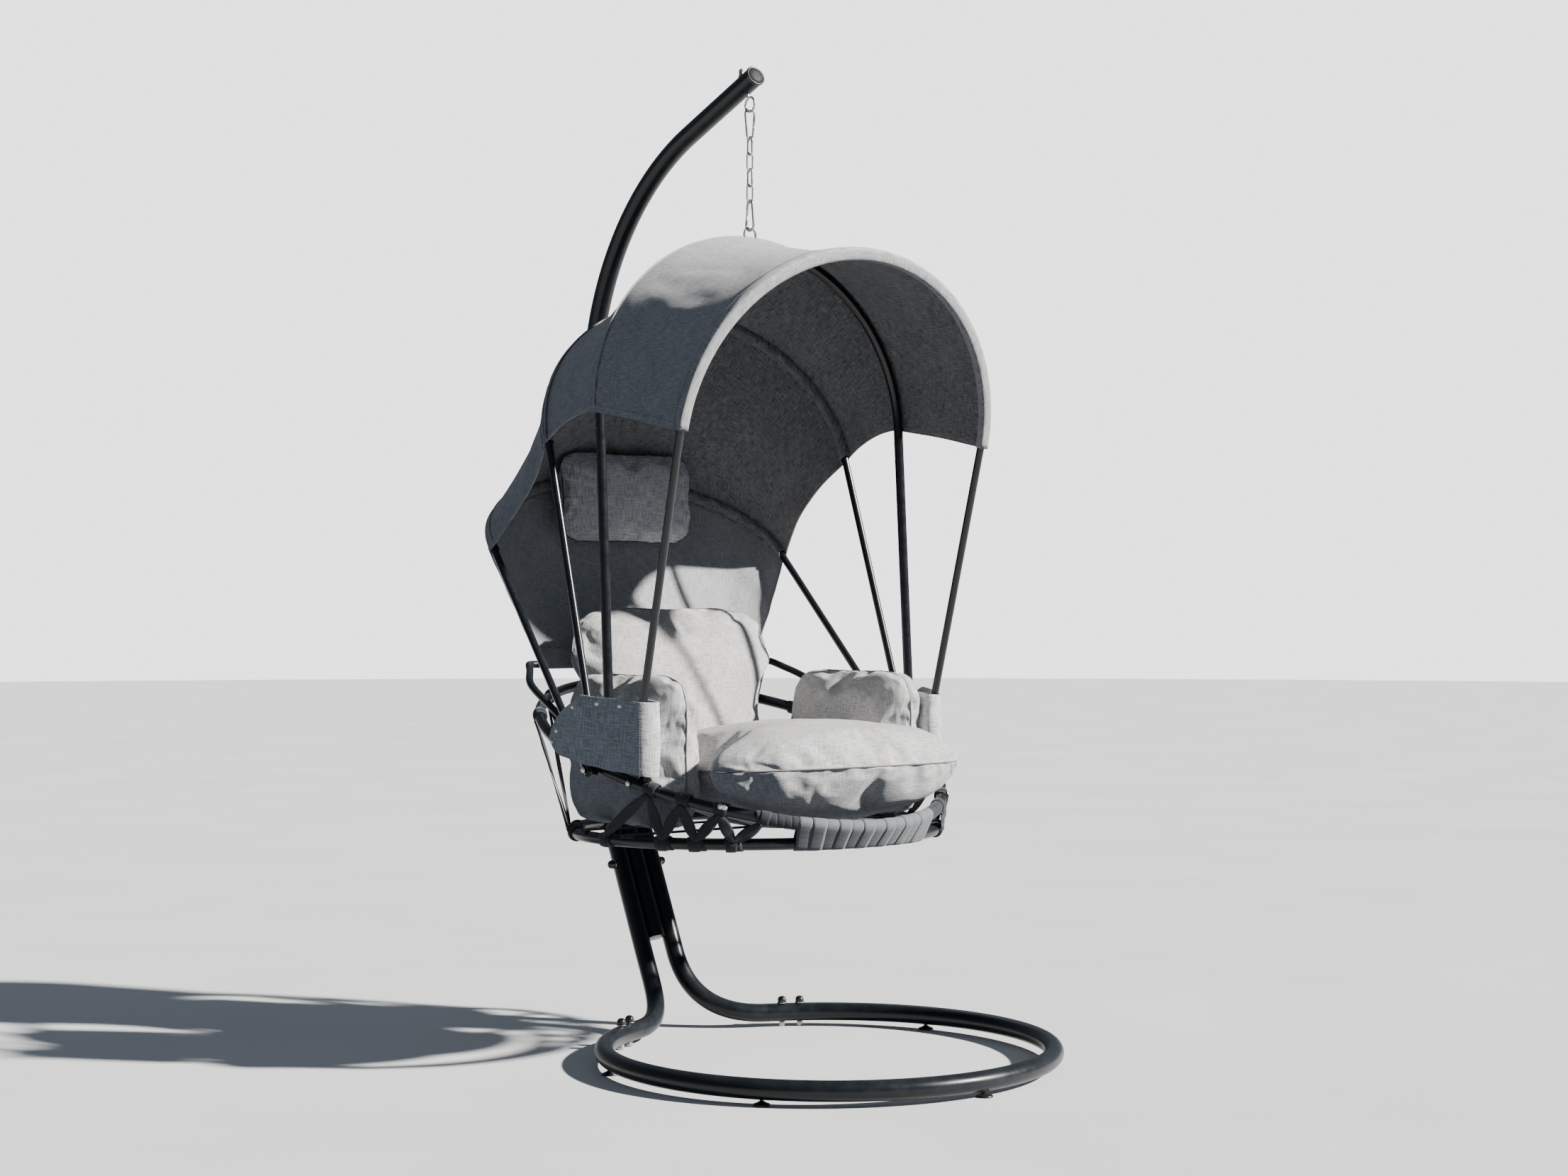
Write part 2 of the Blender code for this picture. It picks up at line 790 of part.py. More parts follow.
def build_pole(clamp_bores):
    path = pole_path()
    tip_run = (path[-1] - path[-2]).normalized()
    foot_run = (path[0] - path[1]).normalized()
    crossing, shank = eye_axis_point()
    reach = shank * (pole_radius + cutter_overrun)
    bores = clamp_bores + [
        cylinder_mesh("eye_bore", crossing - reach, crossing + reach, bolt_radius + seat_gap, 8)
    ]
    for end, run, length, steps in (
        (path[-1], tip_run, tip_insert_length, 16),
        (path[0], foot_run, plug_insert_length, 12),
    ):
        inside = end - run * (length + seat_gap)
        outside = end + run * cutter_overrun
        bores.append(cylinder_mesh("end_socket", inside, outside, plug_insert_radius + seat_gap, steps))
    pole = tube("pole", path, pole_radius, powder_coat, tube_sides_fine)
    attach(cut(pole, bores), "stand")

    cap_radius = pole_radius + cap_lip
    profile = (
        (0, seat_gap + cap_thickness + cap_dome),
        (cap_radius / 2, seat_gap + cap_thickness + cap_dome * 3 / 4),
        (cap_radius - cap_lip, seat_gap + cap_thickness),
        (cap_radius, seat_gap + cap_thickness - cap_lip),
        (cap_radius, seat_gap),
        (plug_insert_radius, seat_gap),
        (plug_insert_radius, -tip_insert_length),
        (0, -tip_insert_length),
    )
    cap = turned_mesh("cap", profile, path[-1], tip_run, 16)
    attach(solid_piece("pole_end_cap", cap, black_plastic), "stand")
    plug = plug_mesh(path[0], foot_run, pole_radius)
    attach(solid_piece("pole_foot_plug", plug, black_plastic), "stand")

    eye_centre = crossing - shank * eye_drop
    ring = [
        eye_centre + eye_mean_radius * (shank * cos(angle) + Vector((0, shank.z, -shank.y)) * sin(angle))
        for angle in (2 * pi * i / 14 for i in range(14))
    ]
    shank_start = crossing - shank * (eye_drop - eye_mean_radius - eye_wire_radius / 2)
    shank_end = crossing + shank * (pole_radius + eye_washer_thickness + seat_gap + eye_nut_height / 2)
    eye = solid_piece("eye_bolt", tube_mesh("eye", ring, eye_wire_radius, wire_sides, True), zinc_steel)
    rod = cylinder_mesh("rod", shank_start, shank_end, bolt_radius, 10)
    attach(unite(eye, [rod]), "stand")
    start = pole_radius + seat_gap
    bore = bolt_radius + seat_gap
    hole_depth = (shank_end - crossing).length - start + seat_gap
    nut_profile = (
        (0, eye_nut_height),
        (eye_nut_radius * 3 / 4, eye_nut_height * 3 / 4),
        (eye_nut_radius, eye_nut_height / 3),
        (eye_nut_radius, eye_washer_thickness),
        (eye_washer_radius, eye_washer_thickness),
        (eye_washer_radius, 0),
        (bore, 0),
        (bore, hole_depth),
        (0, hole_depth),
    )
    nut = turned_mesh("nut", nut_profile, crossing + shank * start, shank, 12)
    attach(solid_piece("eye_bolt_nut", nut, zinc_steel), "stand")


def build_feet():
    for number, angle in enumerate(foot_angles, 1):
        place = ring_point(angle)
        add_body(f"foot_{number}", (place.x, place.y, 0), "stand")
        profile = (
            (0, foot_stud_top),
            (foot_stud_radius, foot_stud_top),
            (foot_stud_radius, foot_pad_height),
            (foot_pad_waist, foot_pad_height),
            (foot_pad_waist, foot_pad_height - foot_pad_rim),
            (foot_pad_radius, foot_pad_rim),
            (foot_pad_radius, 0),
            (0, 0),
        )
        solid = turned_mesh("foot", profile, Vector((place.x, place.y, 0)), UP, 10)
        attach(solid_piece(f"levelling_foot_{number}", solid, black_plastic), f"foot_{number}")


# Builders of the hanging gear
def link_outline(top, across, length, half_width):
    """A chain link's centre line: half circles joined by straight sides."""
    steps = 5
    points = []
    for end, turn in ((0, 0), (1, pi)):
        centre = top - UP * (half_width + end * (length - 2 * half_width))
        for i in range(steps + 1):
            angle = turn + pi * i / steps
            points.append(centre + across * half_width * cos(angle) + UP * half_width * sin(angle))
    return points


def carabiner_outline(top, across, wide_first):
    """A snap hook's centre line, from one end of its gate opening round to the other."""
    radii = (carabiner_wide, carabiner_narrow) if wide_first else (carabiner_narrow, carabiner_wide)
    upper = top - UP * radii[0]
    lower = top - UP * (carabiner_length - radii[1])
    steps = 7
    turns = [across * cos(pi * i / steps) + UP * sin(pi * i / steps) for i in range(steps + 1)]
    high = [upper + turn * radii[0] for turn in turns]
    low = [lower - turn * radii[1] for turn in turns]
    gate_top = high[0] + (low[-1] - high[0]) * gate_start_share
    gate_bottom = high[0] + (low[-1] - high[0]) * gate_end_share
    return [gate_top] + high + low + [gate_bottom]


def hanging_heights():
    """Each hanging piece's top wire centre, worked down from the eye."""
    crossing, shank = eye_axis_point()
    eye_centre = crossing - shank * eye_drop
    tops = {}
    inside_eye = eye_centre.z - eye_mean_radius + eye_wire_radius + carabiner_wire_radius + seat_gap
    tops["carabiner_upper"] = inside_eye
    top = inside_eye - carabiner_length + carabiner_wire_radius + link_wire_radius + seat_gap
    for number in range(1, link_count + 1):
        tops[f"chain_link_{number}"] = top
        grip = 2 * link_wire_radius if number < link_count else link_wire_radius + carabiner_wire_radius
        top = top - link_length + grip + seat_gap
    tops["carabiner_lower"] = top
    tops["hanger_loop"] = top - carabiner_length + carabiner_wire_radius + loop_wire_radius + swivel_gap
    return tops


def build_carabiner(name, gate_name, body, top, across, wide_first):
    outline = carabiner_outline(Vector((0, hang_y, top)), across, wide_first)
    attach(tube(name, outline, carabiner_wire_radius, zinc_steel, wire_sides), body)
    gate_top, gate_bottom = outline[0], outline[-1]
    run = (gate_bottom - gate_top).normalized()
    start = gate_top + run * gate_pin_gap
    end = gate_bottom - run * gate_pin_gap
    hinge = end if wide_first else start
    add_body(gate_name, hinge, body)
    gate = cylinder_mesh("gate", start, end, gate_wire_radius, 8)
    attach(solid_piece(gate_name, gate, zinc_steel), gate_name)


def build_hanging_gear():
    """The upper hook swings on the eye, and the chain with the lower hook sways on the upper hook."""
    tops = hanging_heights()
    top = tops["carabiner_upper"]
    add_body("carabiner_upper", (0, hang_y, top - 2 * carabiner_wire_radius), "stand")
    build_carabiner("carabiner_upper", "gate_upper", "carabiner_upper", top, RIGHT, True)
    top = tops["chain_link_1"]
    add_body("chain", (0, hang_y, top - (link_wire_radius + carabiner_wire_radius) / 2), "carabiner_upper")
    for number in range(1, link_count + 1):
        name = f"chain_link_{number}"
        across = BACK if number % 2 else RIGHT
        outline = link_outline(Vector((0, hang_y, tops[name])), across, link_length, link_half_width)
        attach(tube(name, outline, link_wire_radius, zinc_steel, wire_sides, True), "chain")
    build_carabiner("carabiner_lower", "gate_lower", "chain", tops["carabiner_lower"], BACK, False)
    return tops["hanger_loop"]


# Builders of the chair
def build_frame(loop_top):
    path = closed_points(rim_curve)
    rim = tube("seat_rim", path, rim_tube_radius, powder_coat, tube_sides_medium, True)
    bores = {}
    for key, pivot in (("front", front_pivot), ("rear", rear_pivot)):
        reach = hoops["d"][0] + hoop_radius + cutter_overrun
        inner = hoops["a"][0] - hoop_radius - cutter_overrun
        clearance = running_gap if key == "front" else seat_gap
        bores[key] = [
            cylinder_mesh(
                "pivot_bore",
                Vector((hand * inner, pivot.y, pivot.z)),
                Vector((hand * reach, pivot.y, pivot.z)),
                pivot_bolt_radius + clearance,
                12,
            )
            for hand in (-1, 1)
        ]
    attach(cut(rim, bores["front"] + bores["rear"]), "chair")
    path = closed_points(lower_curve)
    lower = tube("lower_seat_ring", path, lower_tube_radius, powder_coat, tube_sides_medium, True)
    spacers = []
    for angle in spacer_angles:
        top, bottom = rim_point(angle), lower_point(angle)
        start = top + (bottom - top).normalized() * (rim_tube_radius + seat_gap)
        spacers.append(cylinder_mesh("spacer", start, bottom, spacer_radius, 8))
    attach(unite(lower, spacers), "chair")

    copes = []
    for hand in (-1, 1):
        angle = hand * rim_angle_at(main_foot_back)
        run = along(rim_point, angle) * main_hoop_radius * 2
        place = rim_point(angle)
        copes.append(cylinder_mesh("cope", place - run, place + run, rim_tube_radius + running_gap, 16))
    attach(cut(tube("main_hoop", hoop_path("b"), main_hoop_radius, powder_coat), copes), "chair")
    for key, name in (("c", "third_hoop"), ("d", "rear_hoop")):
        attach(cut(tube(name, hoop_path(key), hoop_radius, powder_coat), bores["rear"]), "chair")
    bar = tube("back_bar", bar_path(), hoop_radius, powder_coat)
    attach(cut(bar, bores["rear"]), "chair")

    add_body("front_hoop", (0, front_pivot.y, front_pivot.z), "chair")
    front = tube("front_hoop", hoop_path("a"), hoop_radius, powder_coat)
    attach(cut(front, bores["front"]), "front_hoop")

    skew = along(rim_point, rim_angle_at(front_pivot_back))
    rim_outside = (rim_tube_radius * hypot(skew.x, skew.y) + pivot_head_radius * abs(skew.x)) / abs(skew.y)
    stacks = (
        ("front_pivot_bolt", front_pivot, front_side - hoop_radius, front_pivot.x + rim_outside),
        ("rear_pivot_bolt", rear_pivot, back_bar_side - hoop_radius, rear_side + hoop_radius),
    )
    for name, pivot, inner, outer in stacks:
        for hand, side in ((-1, "right"), (1, "left")):
            bolt = pivot_bolt_mesh(hand, pivot, inner, outer)
            attach(solid_piece(f"{name}_{side}", bolt, zinc_steel), "chair")

    crest = arch_point("b", pi / 2)
    centre = Vector((0, hang_y, loop_top - loop_mean_radius))
    feet_height = crest.z + main_hoop_radius - loop_foot_drop
    steps = 8
    path = [Vector((-loop_mean_radius, hang_y, feet_height))]
    turns = [UP * sin(pi * i / steps) - RIGHT * cos(pi * i / steps) for i in range(steps + 1)]
    path += [centre + loop_mean_radius * turn for turn in turns]
    path.append(Vector((loop_mean_radius, hang_y, feet_height)))
    attach(tube("hanger_loop", path, loop_wire_radius, zinc_steel, wire_sides), "chair")


def pivot_bolt_mesh(hand, pivot, inner, outer):
    """A rivet-like bolt along X: a head on each side of the stack that it holds."""
    start = inner - pivot_head_ease - pivot_head_thickness
    length = outer + pivot_head_ease + pivot_head_thickness - start
    profile = (
        (0, length),
        (pivot_head_radius, length),
        (pivot_head_radius, length - pivot_head_thickness),
        (pivot_bolt_radius, length - pivot_head_thickness),
        (pivot_bolt_radius, pivot_head_thickness),
        (pivot_head_radius, pivot_head_thickness),
        (pivot_head_radius, 0),
        (0, 0),
    )
    return turned_mesh("pivot_bolt", profile, Vector((hand * start, pivot.y, pivot.z)), RIGHT * hand, 12)


def wrap_radius(radius, steps):
    """The middle of a wrap's thickness at its corners, so that its flats clear the tube inside."""
    return (radius + wrap_ease + strap_thickness / 2) / cos(pi / steps)


def half_wrap(visit, width):
    """A strap's edges where it turns half round one of the two tubes, away from the other one."""
    path, other, angle, other_angle, radius, turn = visit
    direction = along(path, angle)
    outwards = direction.cross(UP).normalized()
    if outwards.dot(path(angle) - to_world((0, rim_centre_back, lower_height))) < 0:
        outwards = -outwards
    away = path(angle) - other(other_angle)
    away = (away - direction * away.dot(direction)).normalized()
    outwards = (outwards - away * outwards.dot(away)).normalized()
    reach = wrap_radius(radius, wrap_sides)
    run = (path(angle + radians(1)) - path(angle)).length
    edges = []
    for side in (-1, 1):
        centre = path(angle + side * radians(1) * width / 2 / run)
        phases = [pi * i / (wrap_sides // 2) for i in range(wrap_sides // 2 + 1)]
        edges.append([centre + reach * (outwards * turn * cos(phase) + away * sin(phase)) for phase in phases])
    return edges


def winding(rim_angles, lower_angles, starts_low):
    """One strap wound round rim and lower ring together, over the one and under the other in turn."""
    edges = ([], [])
    for i in range(len(rim_angles) + len(lower_angles)):
        low = (i + starts_low) % 2
        own, others = (lower_angles, rim_angles) if low else (rim_angles, lower_angles)
        angle = own[i // 2]
        near = [others[j] for j in {(i - 1) // 2, (i + 1) // 2} if 0 <= j < len(others)]
        other_angle = sum(near) / len(near)
        if low:
            visit = (lower_point, rim_point, angle, other_angle, lower_tube_radius, 1)
        else:
            visit = (rim_point, lower_point, angle, other_angle, rim_tube_radius, -1)
        for edge, points in zip(edges, half_wrap(visit, strap_width)):
            edge += points
    return sheet_mesh("winding", edges, strap_thickness)


def build_webbing():
    front_pitch = front_wrap_span / (front_wrap_count - 1)
    front_rim = [front_pitch * i - front_wrap_span / 2 for i in range(front_wrap_count)]
    front_lower = [angle + front_pitch / 2 for angle in front_rim]
    windings = [("front_webbing", front_rim, front_lower, 0)]
    for hand, side in ((-1, "right"), (1, "left")):
        rim_angles = [hand * angle for angle in side_rim_angles]
        lower_angles = [hand * angle for angle in side_lower_angles]
        windings.append((f"side_lacing_{side}", rim_angles, lower_angles, 0))
    windings.append(("back_lacing", back_rim_angles, back_lower_angles, 1))
    for name, rim_angles, lower_angles, starts_low in windings:
        strap = winding(rim_angles, lower_angles, starts_low)
        attach(solid_piece(name, strap, slate_webbing), "chair")

    for number, share in enumerate(seat_strap_shares, 1):
        attach(solid_piece(f"seat_strap_{number}", seat_strap(share), slate_webbing), "chair")


def seat_strap(share):
    """A strap across the lower ring, hooked round the outside of its tube at both ends."""
    steps = 4
    reach = (lower_tube_radius + seat_gap + strap_thickness / 2) / cos(seat_hook_angle / steps / 2)
    centre = to_world((0, lower_centre_back, lower_height))
    turns = [seat_hook_angle * i / steps for i in range(steps + 1)]
    rows = []
    for edge in (-1, 1):
        offset = lower_half_depth * share + edge * seat_strap_width / 2
        along_side = offset / lower_half_depth
        half_length = lower_half_width * sqrt(1 - along_side * along_side)
        normal = Vector((half_length / lower_half_width**2, offset / lower_half_depth**2))
        steepness = normal.normalized().x
        row = []
        for sign in (-1, 1):
            hook = [
                centre
                + BACK * offset
                + RIGHT * sign * (half_length + reach / steepness * sin(turn))
                + UP * reach * cos(turn)
                for turn in turns
            ]
            row += hook if sign == 1 else hook[::-1]
        rows.append(row)
    return sheet_mesh("seat_strap", rows, strap_thickness)


# Fabric: lofted between the hoops' arches
def fabric_lift(key):
    ease = main_hoop_ease if key == "b" else 0.0
    return hoops[key][4] + seat_gap + fabric_thickness / 2 + ease


def loft_row(first, second, share, sag, columns, edge_rise, side_pull=0.0):
    """One row of fabric between two arches, drawn inwards between them."""
    row = []
    fullness = 4 * share * (1 - share)
    edge = edge_rise * fullness
    for i in range(columns + 1):
        angle = edge + (pi - 2 * edge) * i / columns
        start = arch_point(first, angle, fabric_lift(first))
        end = arch_point(second, angle, fabric_lift(second))
        point = start.lerp(end, share)
        inwards = Vector((point.x, 0, point.z - cuff_c[2])).normalized()
        row.append(point - inwards * fullness * blend_value(side_pull, sag, sin(angle)))
    return row


def fold_rows(key, before, after, lift, steps):
    """Rows that carry the fabric round the outside of a hoop, between the panels on each side of it."""
    columns = len(before) - 1
    rows = []
    for i in range(steps + 1):
        row = []
        for j in range(columns + 1):
            angle = pi * j / columns
            centre = arch_point(key, angle)
            tangent = arch_point(key, angle + radians(1)) - arch_point(key, angle - radians(1))
            outwards = arch_point(key, angle, hoop_radius) - centre
            normals = []
            for run in (centre - before[j], after[j] - centre):
                normal = tangent.cross(run).normalized()
                normals.append(normal if normal.dot(outwards) > 0 else -normal)
            row.append(centre + normals[0].slerp(normals[1], i / steps) * lift)
        rows.append(row)
    return rows


def sling_row(share, columns):
    row = []
    for i in range(columns + 1):
        angle = pi * i / columns
        top = arch_point("d", angle)
        bottom = to_world((-bar_end_side * cos(angle), bar_back, bar_height))
        bottom += BACK * (hoop_radius + seat_gap + fabric_thickness / 2)
        hollow = sling_sag * 4 * share * (1 - share) * sin(angle)
        row.append(top.lerp(bottom, share) + BACK * hollow)
    return row


def build_canopy():
    columns = arch_steps
    rows = [
        loft_row("a", "b", share, front_sag, columns, front_edge_rise) for share in front_row_shares
    ]
    wrap_steps = 4
    hem_radius = (hoop_radius + seat_gap + fabric_thickness / 2) / cos(hem_wrap_angle / wrap_steps / 2)
    lift = hem_radius + seat_gap + fabric_thickness
    rows[0] = [arch_point("a", pi * i / columns, lift) for i in range(columns + 1)]
    panel = sheet_mesh("front", rows, fabric_thickness)
    attach(solid_piece("canopy_front_panel", panel, grey_fabric), "chair")

    middle = [
        loft_row("b", "c", share, middle_sag, columns, middle_edge_rise) for share in middle_row_shares
    ]
    rear = [
        loft_row("c", "d", share, rear_sag, columns, rear_edge_rise, rear_side_pull)
        for share in rear_row_shares
    ]
    sling = [sling_row(share, columns) for share in sling_row_shares]
    sling.append([point - UP * sling_bar_wrap for point in sling[-1]])
    lift = hoop_radius + 2 * seat_gap + fabric_thickness / 2
    rows = middle + fold_rows("c", middle[-1], rear[0], lift, 1)
    rows += rear + fold_rows("d", rear[-1], sling[0], lift, 2) + sling
    panel = sheet_mesh("rear", rows, fabric_thickness)
    attach(solid_piece("canopy_and_sling", panel, grey_fabric), "chair")

    rows = []
    for i in range(wrap_steps + 1):
        turn = hem_wrap_angle * (i / wrap_steps - 1 / 2)
        row = []
        for j in range(columns + 1):
            angle = pi * j / columns
            rising = hoop_frame("a")[1]
            centre = arch_point("a", angle)
            outwards = (arch_point("a", angle, hoop_radius) - centre).normalized()
            forwards = rising.cross(RIGHT).normalized()
            row.append(centre + hem_radius * (outwards * cos(turn) + forwards * sin(turn)))
        rows.append(row)
    hem = sheet_mesh("hem", rows, fabric_thickness)
    attach(solid_piece("canopy_front_hem", hem, grey_fabric), "front_hoop")


def panel_path(hand):
    """The arm panel's plan: forwards along the outside, round the front hoop and back inside."""
    outer = [
        (panel_rear_side, panel_rear_back),
        (panel_rear_side, panel_bend_back),
        (
            blend_value(panel_rear_side, panel_front_side, panel_bend_share),
            blend_value(panel_bend_back, panel_front_back, half_share),
        ),
        (panel_front_side, panel_front_back + hoop_radius),
    ]
    front = [(blend_value(panel_front_side, panel_inner_side, half_share), panel_front_back)]
    inner = [(panel_inner_side, panel_front_back + hoop_radius / 2), (panel_inner_side, panel_inner_end)]
    return [(hand * side, back) for side, back in outer + front + inner]


def panel_heights(back):
    share = (back - panel_front_back) / (panel_rear_back - panel_front_back)
    share = min(max(share, 0.0), 1.0)
    bottom = blend_value(panel_bottom_front, panel_bottom_rear, share)
    if share < panel_peak_share:
        top = blend_value(panel_top_front, panel_top_middle, share / panel_peak_share)
    else:
        fall_share = (share - panel_peak_share) / (1 - panel_peak_share)
        top = blend_value(panel_top_middle, panel_top_rear, fall_share)
    return bottom, top


def build_arm_panels():
    for hand, side in ((-1, "right"), (1, "left")):
        plan = panel_path(hand)
        rows = []
        for share in (0.0, half_share, 1.0):
            row = []
            for place, back in plan:
                bottom, top = panel_heights(back)
                row.append(to_world((place, back, blend_value(bottom, top, share))))
            rows.append(row)
        solid = sheet_mesh("panel", rows, fabric_thickness)
        panel = solid_piece(f"arm_panel_{side}", solid, grey_fabric)
        snaps = []
        outer = plan[:4]
        for along_share, height_share in snap_shares:
            position = along_share * (len(outer) - 1)
            index = min(int(position), len(outer) - 2)
            first, second = Vector(outer[index]), Vector(outer[index + 1])
            place = first.lerp(second, position - index)
            bottom, top = panel_heights(place.y)
            run = (second - first).normalized()
            normal = Vector((run.y, -run.x, 0))
            if normal.x * hand < 0:
                normal = -normal
            seat = to_world((place.x, place.y, blend_value(bottom, top, height_share)))
            face = seat + normal * (fabric_thickness / 2 + snap_thickness)
            snaps.append(cylinder_mesh("snap", seat, face, snap_radius, 8))
        attach(unite(panel, snaps), "chair")


# Cushions: a rounded block with a crown, drawn-in sides and a seam round the middle
def cushion_mesh(name, half, cuts, plan_power, edge_power, seam_depth, seam_axis, pinch):
    work = bmesh.new()
    bmesh.ops.create_cube(work, size=2)
    bmesh.ops.subdivide_edges(work, edges=work.edges[:], cuts=cuts, use_grid_fill=True)
    axes = [axis for axis in range(3) if axis != seam_axis]
    for vert in work.verts:
        co = vert.co
        u, v, w = co[axes[0]], co[axes[1]], co[seam_axis]
        plan = (abs(u) ** plan_power + abs(v) ** plan_power) ** (1 / plan_power)
        scale = (plan ** edge_power + abs(w) ** edge_power) ** (-1 / edge_power)
        u, v, w = u * scale, v * scale, w * scale
        edge = min(1.0, (abs(u) ** plan_power + abs(v) ** plan_power) ** (1 / plan_power))
        drawn = 1 - pinch * (1 - min(abs(u), abs(v)) / max(abs(u), abs(v), 1e-9)) * edge ** 6
        sizes = [half[axes[0]] * drawn, half[axes[1]] * drawn, half[seam_axis]]
        place = [0.0, 0.0, 0.0]
        place[axes[0]] = u * sizes[0]
        place[axes[1]] = v * sizes[1]
        place[seam_axis] = w * sizes[2]
        vert.co = place
        if abs(w) < 1e-6:
            flat = Vector(place)
            vert.co -= flat.normalized() * seam_depth
    return work


def place_cushion(name, work, centre, tilt, material, reshape=None):
    if reshape:
        for vert in work.verts:
            vert.co = reshape(vert.co)
    mesh = mesh_from_bmesh(name, work)
    mesh.transform(Matrix.Translation(to_world(centre)) @ Matrix.Rotation(tilt, 4, "X"))
    return attach(finish_mesh(name, mesh, material), "chair")


def seat_reshape(point):
    """Draw the seat cushion in between the arm cushions, and let it belly down onto its straps."""
    back = point.y + seat_cushion_centre[1]
    narrow = smooth_share(back, seat_waist_from, seat_waist_to)
    squeeze = blend_value(1.0, seat_cushion_waist / seat_cushion_half[0], narrow)
    plan = min(1.0, hypot(point.x / seat_cushion_half[0], point.y / seat_cushion_half[1]))
    belly = 1 + seat_belly_share * (1 - plan * plan) if point.z < 0 else 1
    return Vector((point.x * squeeze, point.y, point.z * belly))


def back_reshape(point):
    """Narrow the back cushion's foot, which stands between the arm cushions."""
    wide = smooth_share(point.z, back_taper_from, back_taper_to)
    squeeze = blend_value(back_cushion_foot / back_cushion_half[0], 1.0, wide)
    return Vector((point.x * squeeze, point.y, point.z))


def build_cushions():
    seat = cushion_mesh("seat_cushion", seat_cushion_half, 7, 2.4, 2.3, cushion_seam_depth, 2, 0.0)
    place_cushion("seat_cushion", seat, seat_cushion_centre, seat_cushion_tilt, cushion_fabric, seat_reshape)
    back = cushion_mesh("back_cushion", back_cushion_half, 6, 4.0, 2.4, cushion_seam_depth, 1, 0.05)
    place_cushion("back_cushion", back, back_cushion_centre, back_cushion_tilt, cushion_fabric, back_reshape)
    for hand, side in ((-1, "right"), (1, "left")):
        arm = cushion_mesh("arm", arm_cushion_half, 5, 4.5, 3.2, cushion_seam_depth, 0, 0.04)
        centre = (hand * arm_cushion_centre[0], arm_cushion_centre[1], arm_cushion_centre[2])
        place_cushion(f"arm_cushion_{side}", arm, centre, 0.0, cushion_fabric)
    pillow = cushion_mesh("headrest_pillow", pillow_half, 5, 6.0, 2.2, pillow_seam_depth, 1, 0.04)
    place_cushion("headrest_pillow", pillow, pillow_centre, pillow_tilt, charcoal_fabric)


def build():
    add_body("stand", (0, 0, 0))
    bolt_bores = build_base()
    build_pole(build_legs(bolt_bores))
    build_feet()
    loop_top = build_hanging_gear()
    add_body("chair", (0, hang_y, loop_top - loop_wire_radius), "chain")
    build_frame(loop_top)
    build_webbing()
    build_canopy()
    build_arm_panels()
    build_cushions()


build()
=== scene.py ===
"""Hanging lounge chair: the dressed model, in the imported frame's metres.

The sitter faces -Y, so the sitter's left is +X.
"""
from math import acos, atan2, ceil, copysign, cos, exp, floor, hypot, pi, radians, sin, sqrt, tan

import bmesh
import bpy
from mathutils import Matrix, Vector, noise
from mathutils.geometry import interpolate_bezier


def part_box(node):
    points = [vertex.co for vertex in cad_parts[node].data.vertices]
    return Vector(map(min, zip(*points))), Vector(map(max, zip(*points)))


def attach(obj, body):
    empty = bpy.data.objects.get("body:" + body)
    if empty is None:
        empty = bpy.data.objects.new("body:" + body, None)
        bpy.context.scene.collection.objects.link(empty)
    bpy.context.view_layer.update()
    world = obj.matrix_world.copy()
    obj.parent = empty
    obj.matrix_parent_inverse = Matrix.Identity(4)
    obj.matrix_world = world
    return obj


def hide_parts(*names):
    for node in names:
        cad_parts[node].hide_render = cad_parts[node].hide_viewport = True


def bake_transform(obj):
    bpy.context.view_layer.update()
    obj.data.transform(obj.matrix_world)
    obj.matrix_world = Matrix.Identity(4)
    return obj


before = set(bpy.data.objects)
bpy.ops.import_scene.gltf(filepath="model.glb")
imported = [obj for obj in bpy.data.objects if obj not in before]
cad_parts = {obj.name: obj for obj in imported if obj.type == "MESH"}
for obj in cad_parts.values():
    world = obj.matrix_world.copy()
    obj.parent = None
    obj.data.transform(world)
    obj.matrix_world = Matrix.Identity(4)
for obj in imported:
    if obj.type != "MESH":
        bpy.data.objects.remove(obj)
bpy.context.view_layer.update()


def in_radians(*degrees):
    return tuple(radians(angle) for angle in degrees)


# Sizes of the stand, as its solids have them
seat_gap = 0.0003
stand_tube_radius = 0.020
ring_radius = 0.460
ring_height = 0.031
ring_mouth_half_angle = radians(22.7)
mouth_gap = 0.0006
pole_radius = 0.0216
leg_side = 0.0421
leg_bend_top = 0.165
leg_ring_handle = 0.115
leg_upright_handle = 0.105
leg_top_height = 0.615
lean_angle = radians(24.55)
pole_foot_back = 0.602
pole_foot_height = 0.1974
pole_straight = 0.376
pole_sweep_radius = 1.504
pole_sweep_end = radians(16.4)
pole_crook_radius = 0.600
pole_crook_end = radians(68.5)
pole_tip_length = 0.2495
joint_bolt_offsets = in_radians(4.3, 9.3)
clamp_bolt_heights = (0.357, 0.510)
foot_angles = in_radians(68, 124, 180, 236, 292)

# Sizes of the hanging gear
hang_back = 0.261
eye_mean_radius = 0.0155
eye_wire_radius = 0.0026
eye_drop = 0.0476
eye_turn = radians(350)
eye_shank_tail = 0.012
eye_washer_height = 0.0016
carabiner_wire_radius = 0.0027
carabiner_length = 0.0650
carabiner_wide = 0.0125
carabiner_narrow = 0.0078
gate_wire_radius = 0.0022
gate_start_share = 0.30
gate_end_share = 0.72
gate_pin_gap = 0.0010
gate_pin_share = 0.07
gate_shares = (0.0, 0.16, 0.20, 0.84, 0.88, 1.0)
gate_widths = (1.35, 1.35, 1.0, 1.0, 1.3, 1.3)
link_wire_radius = 0.0022
link_length = 0.0388
link_half_width = 0.0072
link_count = 4
loop_mean_radius = 0.0150
loop_wire_radius = 0.0026
swivel_gap = 0.0009

